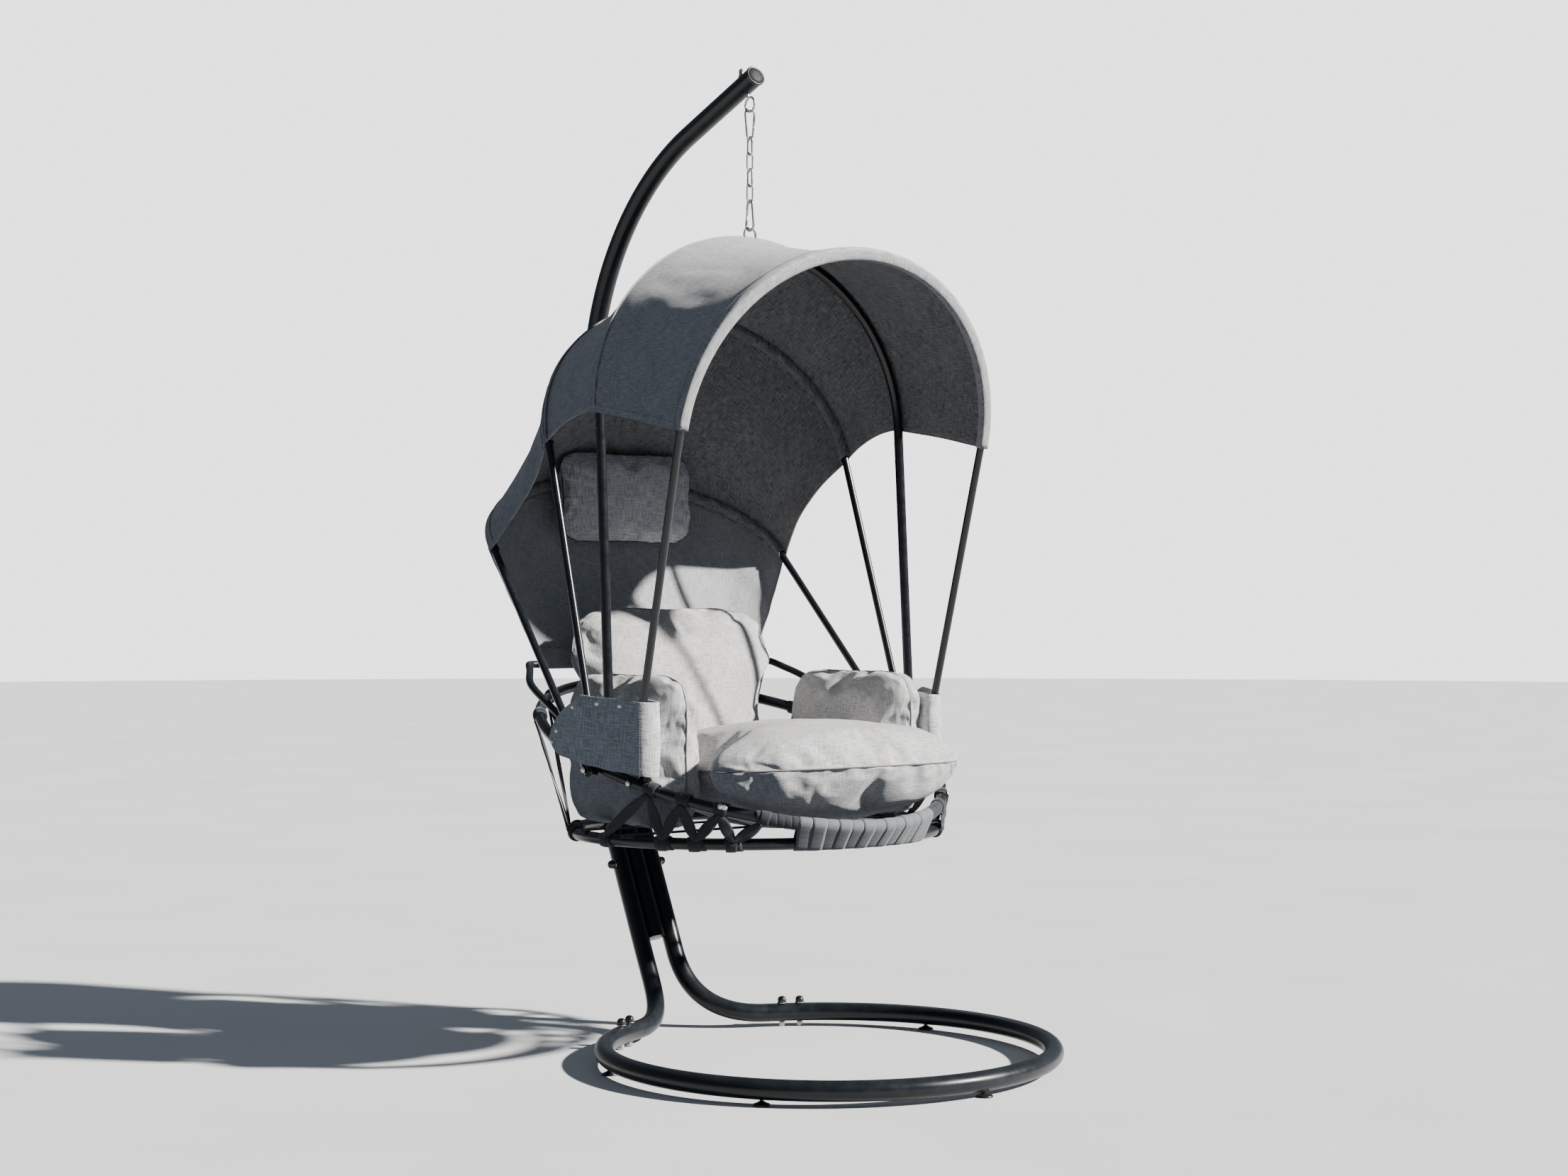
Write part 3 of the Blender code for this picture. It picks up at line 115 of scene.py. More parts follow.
# Sizes of the basket and hoops
rim_tube_radius = 0.0115
rim_half_width = 0.418
rim_half_depth = 0.4476
rim_centre_back = 0.035
rim_front_height = 0.4948
rim_slope = 0.302
lower_tube_radius = 0.0120
lower_half_width = 0.400
lower_half_depth = 0.364
lower_centre_back = -0.022
lower_height = 0.4651
basket_steps = 48
hoop_radius = 0.0080
main_hoop_radius = 0.0100
front_pivot_back = -0.122
main_foot_back = -0.0635
rear_pivot_back = -0.040
hoop_tail = 0.012
hoop_side_gap = 0.0010
rivet_reach = 0.0012
spacer_radius = 0.0060
spacer_angles = in_radians(-18, 0, 18)
cuffs = {
    "front": (0.4025, -0.291, 1.278),
    "main": (0.405, -0.0222, 1.332),
    "third": (0.406, 0.162, 1.276),
    "rear": (0.400, 0.383, 1.059),
}
knees = {
    "front": (0.3925, -0.1495, 0.722),
    "third": (0.4205, -0.0080, 0.722),
    "rear": (0.4300, 0.0590, 0.700),
}
rises = {"front": 0.380, "main": 0.3805, "third": 0.326, "rear": 0.225}
bar_shoulder = (0.385, 0.225, 0.747)
bar_corner = (0.355, 0.312, 0.795)
bar_end_side, bar_back, bar_height = 0.295, 0.352, 0.811

# Worked out from the frame
base_centre_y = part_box("base_ring")[0][1] + ring_radius + stand_tube_radius
hang_y = base_centre_y + hang_back
rim_front_back = rim_centre_back - rim_half_depth
UP = Vector((0, 0, 1))
BACK = Vector((0, 1, 0))
RIGHT = Vector((1, 0, 0))


def to_world(point):
    """Turn a place given behind the hanging axis into the frame."""
    side, back, height = point
    return Vector((side, hang_y + back, height))


def blend_value(low, high, share):
    return low + (high - low) * share


def smooth_share(value, start, end):
    share = min(max((value - start) / (end - start), 0.0), 1.0)
    return share * share * (3 - 2 * share)


def ripple(*place):
    """A smooth random value from about -1 to 1, the same in every run."""
    return noise.noise(Vector(place))


# Materials
weave_pitch = 0.0016
rib_pitch = 0.0042
rib_turn = 0.0062


def new_material(name, colour, roughness, metallic=0.0, **sockets):
    made = bpy.data.materials.new(name)
    made.use_nodes = True
    inputs = made.node_tree.nodes["Principled BSDF"].inputs
    inputs["Base Color"].default_value = (*colour, 1.0)
    inputs["Roughness"].default_value = roughness
    inputs["Metallic"].default_value = metallic
    for socket, value in sockets.items():
        inputs[socket.replace("_", " ")].default_value = value
    return made


def add_node(made, kind, inputs, **settings):
    node = made.node_tree.nodes.new(kind)
    for key, value in settings.items():
        setattr(node, key, value)
    for key, value in inputs.items():
        if isinstance(value, bpy.types.NodeSocket):
            made.node_tree.links.new(value, node.inputs[key])
        else:
            node.inputs[key].default_value = value
    return node


def coordinates(made, kind):
    return add_node(made, "ShaderNodeTexCoord", {}).outputs[kind]


def noise_value(made, place, stretch, detail=2.0, roughness=0.5):
    """Noise with the given number of grains a metre along each axis."""
    mapping = add_node(made, "ShaderNodeMapping", {"Vector": place, "Scale": stretch})
    inputs = {"Vector": mapping.outputs[0], "Scale": 1.0, "Detail": detail, "Roughness": roughness}
    return add_node(made, "ShaderNodeTexNoise", inputs).outputs[0]


def calculate(made, operation, first, second=0.0, third=0.0):
    inputs = {0: first, 1: second, 2: third}
    return add_node(made, "ShaderNodeMath", inputs, operation=operation).outputs[0]


def ramp(made, factor, low, high, dark, light):
    """Colour that runs from dark to light as the factor goes from low to high."""
    node = add_node(made, "ShaderNodeValToRGB", {"Fac": factor})
    ends = node.color_ramp.elements
    ends[0].position, ends[0].color = low, (*dark, 1.0)
    ends[1].position, ends[1].color = high, (*light, 1.0)
    return node.outputs[0]


def connect(made, socket, value):
    made.node_tree.links.new(value, made.node_tree.nodes["Principled BSDF"].inputs[socket])


def ranged(made, value, low, high):
    inputs = {"Value": value, "From Min": 0.3, "From Max": 0.7, "To Min": low, "To Max": high}
    return add_node(made, "ShaderNodeMapRange", inputs).outputs[0]


def bump(made, height, distance, strength=1.0):
    inputs = {"Height": height, "Distance": distance, "Strength": strength}
    connect(made, "Normal", add_node(made, "ShaderNodeBump", inputs).outputs[0])


def coated_metal(name, dark, light, roughness, metallic, grain, depth, **sockets):
    """Painted, plated or moulded surfaces: a fine grain, with soft patches of wear in tone and gloss."""
    made = new_material(name, dark, roughness[0], metallic, **sockets)
    place = coordinates(made, "Object")
    patches = noise_value(made, place, (38, 38, 38), 4.0, 0.6)
    connect(made, "Base Color", ramp(made, patches, 0.36, 0.66, dark, light))
    connect(made, "Roughness", ranged(made, patches, *roughness))
    bump(made, noise_value(made, place, (grain, grain, grain), 2.0), depth)
    return made


def linen(name, dark, light, contrast=0.07, sheen=0.2):
    """Heathered cloth: long pale and dark threads both ways, over a fine plain weave."""
    made = new_material(name, light, 0.92, Sheen_Weight=sheen, Sheen_Roughness=0.5, Specular_IOR_Level=0.18)
    place = coordinates(made, "UV")
    warp = noise_value(made, place, (34, 560, 1), 3.0, 0.6)
    weft = noise_value(made, place, (560, 34, 1), 3.0, 0.6)
    mottle = noise_value(made, place, (11, 11, 1), 2.0)
    threads = calculate(made, "ADD", warp, weft)
    mixed = calculate(made, "MULTIPLY_ADD", threads, 0.47, calculate(made, "MULTIPLY", mottle, 0.06))
    connect(made, "Base Color", ramp(made, mixed, 0.5 - contrast, 0.5 + contrast, dark, light))
    split = add_node(made, "ShaderNodeSeparateXYZ", {"Vector": place})
    ways = [
        calculate(made, "SINE", calculate(made, "MULTIPLY", split.outputs[i], 2 * pi / weave_pitch))
        for i in (0, 1)
    ]
    weave = calculate(made, "MULTIPLY", *ways)
    bump(made, calculate(made, "MULTIPLY_ADD", weave, 0.25, threads), 0.0007, 0.8)
    return made


def herringbone(name, dark, light):
    """Woven strap: slanted ribs that turn back at the middle and the edges of each band."""
    made = new_material(name, light, 0.72, Sheen_Weight=0.15, Specular_IOR_Level=0.3)
    place = coordinates(made, "UV")
    split = add_node(made, "ShaderNodeSeparateXYZ", {"Vector": place})
    back_and_forth = calculate(made, "PINGPONG", split.outputs[1], rib_turn)
    slanted = calculate(made, "ADD", split.outputs[0], back_and_forth)
    ribs = calculate(made, "SINE", calculate(made, "MULTIPLY", slanted, 2 * pi / rib_pitch))
    grain = noise_value(made, place, (700, 700, 1), 2.0)
    height = calculate(made, "MULTIPLY_ADD", ribs, 0.28, grain)
    connect(made, "Base Color", ramp(made, height, 0.22, 0.82, dark, light))
    bump(made, height, 0.0006, 0.8)
    return made


def cloud_floor(name):
    made = new_material(name, (0.80, 0.80, 0.80), 0.85)
    patches = noise_value(made, coordinates(made, "Object"), (1.4, 1.4, 1.4), 3.0)
    connect(made, "Base Color", ramp(made, patches, 0.3, 0.7, (0.62, 0.625, 0.63), (0.68, 0.68, 0.68)))
    return made


powder_coat = coated_metal(
    "powder_coat", (0.0070, 0.0090, 0.0110), (0.0120, 0.0142, 0.0165), (0.27, 0.36), 0.0, 1300, 0.00008,
    Coat_Weight=0.04, Coat_Roughness=0.15, Specular_IOR_Level=0.26,
)
gloss_coat = coated_metal(
    "gloss_coat", (0.006, 0.007, 0.009), (0.011, 0.012, 0.015), (0.20, 0.28), 0.0, 900, 0.00006,
    Coat_Weight=0.10, Coat_Roughness=0.10, Specular_IOR_Level=0.32,
)
zinc_steel = coated_metal(
    "zinc_steel", (0.30, 0.31, 0.32), (0.50, 0.50, 0.49), (0.30, 0.46), 1.0, 800, 0.00005
)
black_plastic = coated_metal(
    "black_plastic", (0.008, 0.008, 0.009), (0.014, 0.014, 0.015), (0.26, 0.40), 0.0, 1500, 0.00006
)
grey_plastic = coated_metal(
    "grey_plastic", (0.012, 0.013, 0.014), (0.020, 0.021, 0.022), (0.46, 0.58), 0.0, 1500, 0.00006,
    Specular_IOR_Level=0.12,
)
snap_finish = coated_metal(
    "snap_finish", (0.50, 0.51, 0.52), (0.62, 0.62, 0.62), (0.30, 0.42), 0.4, 1200, 0.00004
)
canopy_outside = linen("canopy_outside", (0.26, 0.265, 0.275), (0.52, 0.515, 0.51))
canopy_lining = linen("canopy_lining", (0.088, 0.089, 0.094), (0.320, 0.320, 0.326))
sling_cloth = linen("sling_cloth", (0.25, 0.26, 0.275), (0.47, 0.475, 0.48))
cushion_cloth = linen("cushion_cloth", (0.30, 0.298, 0.30), (0.60, 0.59, 0.585))
pillow_cloth = linen("pillow_cloth", (0.34, 0.343, 0.352), (0.78, 0.78, 0.785))
panel_cloth = linen("panel_cloth", (0.32, 0.327, 0.34), (0.70, 0.70, 0.702))
# The seams' cloth is the canopy's cloth made lighter: a painted highlight for their sunlit edge
painted_highlight_seam = linen("painted_highlight_seam", (0.46, 0.455, 0.45), (0.66, 0.655, 0.65))
thread_cloth = new_material("stitch_thread", (0.55, 0.55, 0.54), 0.7)
seam_cloth = linen("seam_cloth", (0.13, 0.13, 0.135), (0.27, 0.265, 0.26))
dark_seam_cloth = linen("dark_seam_cloth", (0.018, 0.019, 0.021), (0.055, 0.056, 0.060))
# One herringbone webbing in two tones: the lighter copy on the front wraps is painted sunlight, the darker
# copy on the laced straps, rim wraps and seat straps is painted shade
painted_lit_front_strap = herringbone("painted_lit_front_strap", (0.065, 0.070, 0.080), (0.20, 0.207, 0.218))
lacing_strap = herringbone("lacing_strap", (0.008, 0.009, 0.012), (0.026, 0.030, 0.038))


# Making pieces
tiny = 1e-6
stitch_pitch = 0.0050
stitch_length = 0.0032
both_sides = ((-1, "right"), (1, "left"))


def mirrored(point):
    return Vector((-point.x, point.y, point.z))


def turned_over(rows):
    """The columns of a grid as its rows."""
    return [list(row) for row in zip(*rows)]


def new_object(name, data):
    made = bpy.data.objects.new(name, data)
    bpy.context.scene.collection.objects.link(made)
    return made


def dress(piece, finishes, body=None, nodes=()):
    """Give a piece its finishes, its body and the nodes it stands for."""
    if isinstance(finishes, bpy.types.Material):
        finishes = [finishes]
    for finish in finishes:
        piece.data.materials.append(finish)
    if body:
        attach(piece, body)
    if nodes:
        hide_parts(*nodes)
    return piece


def add_piece(name, data, finishes, body=None, nodes=()):
    return dress(new_object(name, data), finishes, body, nodes)


def tube(name, points, radius, finish, body, nodes=(), closed=False, sides=10, widths=None):
    """A round bar along points; widths are shares of its radius at each of them."""
    curve = bpy.data.curves.new(name, "CURVE")
    curve.dimensions = "3D"
    curve.bevel_depth = radius
    curve.bevel_resolution = sides
    curve.use_fill_caps = not closed
    curve.twist_mode = "MINIMUM"
    spline = curve.splines.new("POLY")
    spline.points.add(len(points) - 1)
    for i, point in enumerate(points):
        spline.points[i].co = (*point, 1.0)
        spline.points[i].radius = widths[i] if widths else 1.0
    spline.use_cyclic_u = closed
    spline.use_smooth = True
    return add_piece(name, curve, finish, body, nodes)


def mesh_from(name, work, smooth_angle=None):
    """A bmesh as a smooth mesh, sharp where its faces meet at more than the angle."""
    mesh = bpy.data.meshes.new(name)
    work.to_mesh(mesh)
    work.free()
    mesh.shade_smooth()
    if smooth_angle:
        mesh.set_sharp_from_angle(angle=smooth_angle)
    return mesh


def closed_mesh(name, work, smooth_angle=radians(42)):
    bmesh.ops.recalc_face_normals(work, faces=work.faces)
    return mesh_from(name, work, smooth_angle)


def eased(profile, ease):
    """Round the corners of a turned profile, so that its edges catch the light."""
    points = [Vector(point) for point in profile]
    rows = [points[0]]
    for before, corner, after in zip(points, points[1:], points[2:]):
        if corner.x < tiny:
            rows.append(corner)
            continue
        runs = [before - corner, after - corner]
        cut = min([ease] + [run.length * 0.45 for run in runs])
        ends = [corner + run.normalized() * cut for run in runs]
        rows += [ends[0], (ends[0] + ends[1] + 2 * corner) / 4, ends[1]]
    return rows + [points[-1]]


def turned(work, profile, place, direction, steps, ease):
    """Add to a bmesh a profile of (radius, height) pairs turned about an axis through place."""
    turn_up = Vector(direction).to_track_quat("Z", "Y").to_matrix().to_4x4()
    matrix = Matrix.Translation(place) @ turn_up
    rings = []
    for radius, height in eased(profile, ease):
        count = steps if radius > tiny else 1
        angles = [2 * pi * i / count for i in range(count)]
        rings.append([
            work.verts.new(matrix @ Vector((radius * cos(angle), radius * sin(angle), height)))
            for angle in angles
        ])
    for upper, lower in zip(rings, rings[1:]):
        for i in range(steps):
            j = (i + 1) % steps
            corners = (
                upper[i % len(upper)], upper[j % len(upper)], lower[j % len(lower)], lower[i % len(lower)]
            )
            corners = list(dict.fromkeys(corners))
            if len(corners) > 2:
                work.faces.new(corners)


def turned_piece(name, profiles, finish, body, nodes=(), steps=32, ease=0.0006):
    """One piece of several turned shapes, each given as profile, place and direction."""
    work = bmesh.new()
    for profile, place, direction in profiles:
        turned(work, profile, place, direction, steps, ease)
    return add_piece(name, closed_mesh(name, work), finish, body, nodes)


def run_lengths(points):
    """The distance from the first point to each point, along the line through them all."""
    runs = [0.0]
    for first, second in zip(points, points[1:]):
        runs.append(runs[-1] + (second - first).length)
    return runs


def metric_uv(rows):
    """Distances along and across a grid of points, in metres, from its middle column."""
    middle = len(rows[0]) // 2
    across = []
    for row in rows:
        runs = run_lengths(row)
        across.append([run - runs[middle] for run in runs])
    down = zip(*(run_lengths(column) for column in zip(*rows)))
    return [list(zip(us, vs)) for us, vs in zip(across, down)]


def add_grid(work, rows, layer, uvs=None, material=None, wrap=False):
    """Add a grid of points to a bmesh; wrap joins the last row to the first."""
    uvs = uvs or metric_uv(rows)
    verts = [[work.verts.new(point) for point in row] for row in rows]
    for j in range(len(rows) if wrap else len(rows) - 1):
        k = (j + 1) % len(rows)
        for i in range(len(rows[0]) - 1):
            face = work.faces.new((verts[j][i], verts[j][i + 1], verts[k][i + 1], verts[k][i]))
            if material:
                face.material_index = material(j)
            places = [uvs[j][i], uvs[j][i + 1], uvs[k][i + 1], uvs[k][i]]
            if k == 0:
                step = (rows[0][i] - rows[j][i]).length
                places[2:] = [(u, v + step) for u, v in (uvs[j][i + 1], uvs[j][i])]
            for loop, place in zip(face.loops, places):
                loop[layer].uv = place


def sheet_mesh(name, grids):
    """Grids as one mesh; each is a dict of add_grid's settings."""
    work = bmesh.new()
    layer = work.loops.layers.uv.new("UVMap")
    for grid in grids:
        add_grid(work, layer=layer, **grid)
    return mesh_from(name, work, radians(60))


def thicken(piece, thickness, material_offset=0):
    shell = piece.modifiers.new("thickness", "SOLIDIFY")
    shell.thickness = thickness
    shell.offset = 0.0
    shell.use_quality_normals = True
    shell.material_offset = material_offset
    return piece


def sheet_piece(name, grids, finish, thickness, body="chair", nodes=()):
    """Cloth or webbing of a thickness, with grids of points as its middle face."""
    return thicken(add_piece(name, sheet_mesh(name, grids), finish, body, nodes), thickness)


def applied(piece):
    """Make a piece's modifiers part of its mesh."""
    graph = bpy.context.evaluated_depsgraph_get()
    shaped = piece.evaluated_get(graph)
    mesh = bpy.data.meshes.new_from_object(shaped, preserve_all_data_layers=True, depsgraph=graph)
    piece.modifiers.clear()
    piece.data = mesh
    return piece


def stitches(name, lines, body, radius=0.00045, lift=0.0):
    """Short raised stitches along lines, each a list of (point, normal)."""
    work = bmesh.new()
    turns = (0, pi / 2, pi, 3 * pi / 2)
    for line in lines:
        carried = 0.0
        for (start, normal), (end, _) in zip(line, line[1:]):
            run = end - start
            distance = run.length
            if distance < tiny:
                continue
            ahead = run / distance
            side = ahead.cross(normal).normalized()
            up = side.cross(ahead).normalized()
            while carried < distance:
                centre = start + ahead * carried + up * lift
                first, last = (
                    work.verts.new(centre + ahead * sign * stitch_length / 2) for sign in (-1, 1)
                )
                loop = [
                    work.verts.new(centre + (side * cos(turn) + up * sin(turn)) * radius) for turn in turns
                ]
                for here, following in zip(loop, loop[1:] + loop[:1]):
                    work.faces.new((first, here, following))
                    work.faces.new((last, following, here))
                carried += stitch_pitch
            carried -= distance
    return add_piece(name, closed_mesh(name, work, radians(90)), thread_cloth, body)


# Paths of the stand
def ring_point(angle, height=ring_height):
    """A point on the base ring; angle 0 is straight back and grows towards the sitter's left."""
    return Vector((ring_radius * sin(angle), base_centre_y + ring_radius * cos(angle), height))


def upright_point(height, side=0.0):
    back = pole_foot_back + tan(lean_angle) * (height - pole_foot_height)
    return Vector((side, base_centre_y + back, height))


lean = Vector((0, sin(lean_angle), cos(lean_angle)))


def pole_path(steps=36):
    points = [upright_point(pole_foot_height)]
    corner = points[0] + lean * pole_straight
    points.append(corner)
    arcs = (
        (pole_sweep_radius, -lean_angle, pole_sweep_end),
        (pole_crook_radius, pole_sweep_end, pole_crook_end),
    )
    for radius, start, end in arcs:
        centre = corner - radius * Vector((0, cos(start), sin(start)))
        for i in range(1, steps + 1):
            angle = blend_value(start, end, i / steps)
            points.append(centre + radius * Vector((0, cos(angle), sin(angle))))
        corner = points[-1]
    points.append(corner + pole_tip_length * Vector((0, -sin(pole_crook_end), cos(pole_crook_end))))
    return points


def leg_path(hand):
    start_angle = hand * (ring_mouth_half_angle - mouth_gap / ring_radius)
    start = ring_point(start_angle)
    ahead = Vector((-hand * cos(start_angle), hand * sin(start_angle), 0))
    bend_top = upright_point(leg_bend_top, hand * leg_side)
    handles = (start + ahead * leg_ring_handle, bend_top - lean * leg_upright_handle)
    bend = list(interpolate_bezier(start, *handles, bend_top, 40))
    return bend + [upright_point(leg_top_height, hand * leg_side)]


# Paths of the basket, seen from above: angle 0 is the front and grows towards the sitter's left
def rim_curve(angle):
    back = rim_centre_back - rim_half_depth * cos(angle)
    height = rim_front_height + rim_slope * (back - rim_front_back)
    return to_world((rim_half_width * sin(angle), back, height))


def lower_curve(angle):
    back = lower_centre_back - lower_half_depth * cos(angle)
    return to_world((lower_half_width * sin(angle), back, lower_height))


def rim_corner(angle):
    """A point on the rim's solid, which runs straight between the points of its curve."""
    position = angle * basket_steps / (2 * pi)
    start = floor(position)
    corners = [rim_curve(2 * pi * (start + i) / basket_steps) for i in (0, 1)]
    return corners[0].lerp(corners[1], position - start)


def rim_angle_at(back):
    return acos((rim_centre_back - back) / rim_half_depth)


def along(path, angle):
    step = radians(0.5)
    return (path(angle + step) - path(angle - step)).normalized()


front_pivot = rim_corner(rim_angle_at(front_pivot_back))
main_foot = rim_corner(rim_angle_at(main_foot_back))
rear_pivot = rim_corner(rim_angle_at(rear_pivot_back))


def beside_rim(back, radius):
    """How far beside the rim's middle line a bar that touches it stands."""
    run = along(rim_corner, rim_angle_at(back))
    return (rim_tube_radius + radius + seat_gap) * hypot(run.x, run.y) / abs(run.y)


rear_offset = beside_rim(rear_pivot_back, hoop_radius)
front_side = front_pivot.x - beside_rim(front_pivot_back, hoop_radius)
third_side = rear_pivot.x + rear_offset
rear_side = third_side + 2 * hoop_radius + hoop_side_gap
back_bar_side = rear_pivot.x - rear_offset
feet = {
    "front": (front_side, front_pivot),
    "main": (main_foot.x, main_foot),
    "third": (third_side, rear_pivot),
    "rear": (rear_side, rear_pivot),
}
radii = {"front": hoop_radius, "main": main_hoop_radius, "third": hoop_radius, "rear": hoop_radius}


def hoop_frame(key):
    """The middle point at cuff height, and the direction the arch rises in."""
    middle = to_world((0, cuffs[key][1], cuffs[key][2]))
    low = to_world(knees[key]) if key in knees else feet[key][1]
    return middle, Vector((0, middle.y - low.y, middle.z - low.z)).normalized()


def arch_point(key, angle, outward=0.0):
    """Angle 0 is the cuff on the sitter's right and pi the one on the left."""
    middle, rising = hoop_frame(key)
    return (
        middle
        - RIGHT * (cuffs[key][0] + outward) * cos(angle)
        + rising * (rises[key] + outward) * sin(angle)
    )


def soft_corner(before, corner, after, reach, steps=8):
    start = corner + (before - corner).normalized() * reach
    end = corner + (after - corner).normalized() * reach
    return list(interpolate_bezier(start, start.lerp(corner, 0.6), end.lerp(corner, 0.6), end, steps))


def hoop_path(key, steps=72):
    side, pivot = feet[key]
    foot = Vector((side, pivot.y, pivot.z))
    leg = [foot]
    if key in knees:
        knee = to_world(knees[key])
        cuff = to_world(cuffs[key])
        down = (foot - knee).normalized()
        leg = [foot + down * hoop_tail] + soft_corner(foot, knee, cuff, 0.045)
    points = [mirrored(point) for point in leg]
    points += [arch_point(key, pi * i / steps) for i in range(steps + 1)]
    return points + leg[::-1]


def bar_path():
    tail = (back_bar_side, rear_pivot_back - hoop_tail / 3, rear_pivot.z - hoop_tail / 6)
    end = (bar_end_side, bar_back, bar_height)
    left = [to_world(place) for place in (tail, bar_shoulder, bar_corner, end)]
    tangent = (left[1] - left[0]).normalized()
    reach = (left[2] - left[1]).length / 2
    leaving = (left[3] - left[1]).normalized() * reach
    bend = interpolate_bezier(left[1], left[1] + tangent * reach, left[2] - leaving, left[2], 12)
    turn = interpolate_bezier(left[2], left[2] + leaving, left[3] + RIGHT * reach, left[3], 16)
    half = [left[0]] + list(bend) + list(turn)[1:]
    return half + [mirrored(point) for point in reversed(half)]


# The stand
washer_height = 0.0015
bolt_washer = ((0, washer_height), (0.0105, washer_height), (0.0105, 0), (0, 0))


def dome(radius, height, skirt, steps=8):
    rows = [
        (radius * sin(pi / 2 * i / steps), skirt + (height - skirt) * cos(pi / 2 * i / steps))
        for i in range(steps + 1)
    ]
    return rows + [(radius, 0), (0, 0)]


def cap_on_washer(name, heads, nodes):
    """Domed caps on bright washers, each at a place and facing a direction."""
    cap = dome(0.0096, 0.0142, 0.0056)
    caps = [(cap, place + direction * washer_height, direction) for place, direction in heads]
    turned_piece(f"{name}_caps", caps, black_plastic, "stand", nodes)
    washers = [(bolt_washer, place, direction) for place, direction in heads]
    turned_piece(f"{name}_washers", washers, zinc_steel, "stand", ease=0.0004)


def build_base():
    start = ring_mouth_half_angle
    sweep = 2 * pi - 2 * start
    path = [ring_point(start + sweep * i / 150) for i in range(151)]
    tube("base_ring_tube", path, stand_tube_radius, powder_coat, "stand", ["base_ring"])
    plug = (
        (0, 0.0040), (0.012, 0.0038), (stand_tube_radius - 0.0008, 0.0030), (stand_tube_radius, 0.0020),
        (stand_tube_radius, seat_gap), (0.0150, seat_gap), (0.0150, -0.010), (0, -0.010),
    )
    nut = ((0, 0.0107), (0.0036, 0.0107), (0.0070, 0.0107), (0.0070, 0), (0, 0))
    number = 0
    for hand, side in both_sides:
        tube(f"leg_tube_{side}", leg_path(hand), stand_tube_radius, powder_coat, "stand", [f"leg_{side}"])
        spigot = [ring_point(hand * (start + turn / 1000)) for turn in range(-30, 31, 10)]
        tube(f"leg_spigot_{side}", spigot, stand_tube_radius - 0.0012, gloss_coat, "stand", sides=8)
        top = upright_point(leg_top_height, hand * leg_side)
        turned_piece(f"leg_plug_{side}", [(plug, top, lean)], black_plastic, "stand",
                     [f"leg_top_plug_{side}"])
        for offset in joint_bolt_offsets:
            number += 1
            place = ring_point(hand * (start + offset), 0)
            head = place + UP * (ring_height + stand_tube_radius + seat_gap)
            cap_on_washer(f"joint_bolt_{number}", [(head, UP)], [f"base_joint_bolt_{number}"])
            turned_piece(f"joint_nut_{number}", [(nut, place, UP)], zinc_steel, "stand", steps=6)
    for height, level in zip(clamp_bolt_heights, ("lower", "upper")):
        reach = leg_side + stand_tube_radius + seat_gap
        heads = [(upright_point(height, hand * reach), RIGHT * hand) for hand, _ in both_sides]
        cap_on_washer(f"clamp_bolt_{level}", heads, [f"clamp_bolt_{level}"])


def build_stand():
    build_base()
    path = pole_path()
    tube("pole_tube", path, pole_radius, powder_coat, "stand", ["pole"])
    tip_run = (path[-1] - path[-2]).normalized()
    foot_run = (path[0] - path[1]).normalized()
    lip = (
        (0, 0.0040), (0.0190, 0.0056), (0.0206, 0.0062), (0.0226, 0.0050), (0.0226, seat_gap),
        (0.0150, seat_gap), (0.0150, -0.009), (0, -0.009),
    )
    turned_piece("pole_cap_lip", [(lip, path[-1], tip_run)], black_plastic, "stand", ["pole_end_cap"],
                 steps=40)
    disc = ((0, 0.0093), (0.009, 0.0088), (0.015, 0.0076), (0.0188, 0.0058), (0.0188, 0.0042), (0, 0.0042))
    turned_piece("pole_cap_disc", [(disc, path[-1], tip_run)], grey_plastic, "stand", steps=40)
    plug = (
        (0, 0.0033), (pole_radius, 0.0030), (pole_radius, seat_gap), (0.0150, seat_gap),
        (0.0150, -0.012), (0, -0.012),
    )
    turned_piece("pole_plug", [(plug, path[0], foot_run)], black_plastic, "stand", ["pole_foot_plug"])
    glide = (
        (0, 0.0360), (0.0040, 0.0360), (0.0040, 0.0088), (0.0065, 0.0080), (0.0080, 0.0066),
        (0.0162, 0.0036), (0.0170, 0.0020), (0.0170, 0), (0, 0),
    )
    for foot, angle in enumerate(foot_angles, 1):
        turned_piece(f"glide_foot_{foot}", [(glide, ring_point(angle, 0), UP)], black_plastic, f"foot_{foot}",
                     [f"levelling_foot_{foot}"])


# The hanging gear
def eye_axis_point():
    """Where the eye bolt's shank crosses the pole's middle, and the shank's upward direction."""
    path = pole_path()
    tip_run = (path[-1] - path[-2]).normalized()
    shank = Vector((0, tip_run.z, -tip_run.y))
    distance = (path[-2].y - (hang_y + shank.y * eye_drop)) / -tip_run.y
    return path[-2] + tip_run * distance, shank


def hanging_heights():
    """The height of the top of each hook, link and loop, from the eye bolt down."""
    crossing_point, shank = eye_axis_point()
    eye_centre = crossing_point - shank * eye_drop
    top = eye_centre.z - eye_mean_radius + eye_wire_radius + carabiner_wire_radius + seat_gap
    tops = {"carabiner_upper": top}
    top = top - carabiner_length + carabiner_wire_radius + link_wire_radius + seat_gap
    for number in range(1, link_count + 1):
        tops[f"chain_link_{number}"] = top
        grip = 2 * link_wire_radius if number < link_count else link_wire_radius + carabiner_wire_radius
        top = top - link_length + grip + seat_gap
    tops["carabiner_lower"] = top
    tops["hanger_loop"] = top - carabiner_length + carabiner_wire_radius + loop_wire_radius + swivel_gap
    return tops


def link_outline(top, across, steps=14):
    points = []
    for end, turn in ((0, 0), (1, pi)):
        centre = top - UP * (link_half_width + end * (link_length - 2 * link_half_width))
        for i in range(steps + 1):
            angle = turn + pi * i / steps
            points.append(centre + link_half_width * (across * cos(angle) + UP * sin(angle)))
    return points


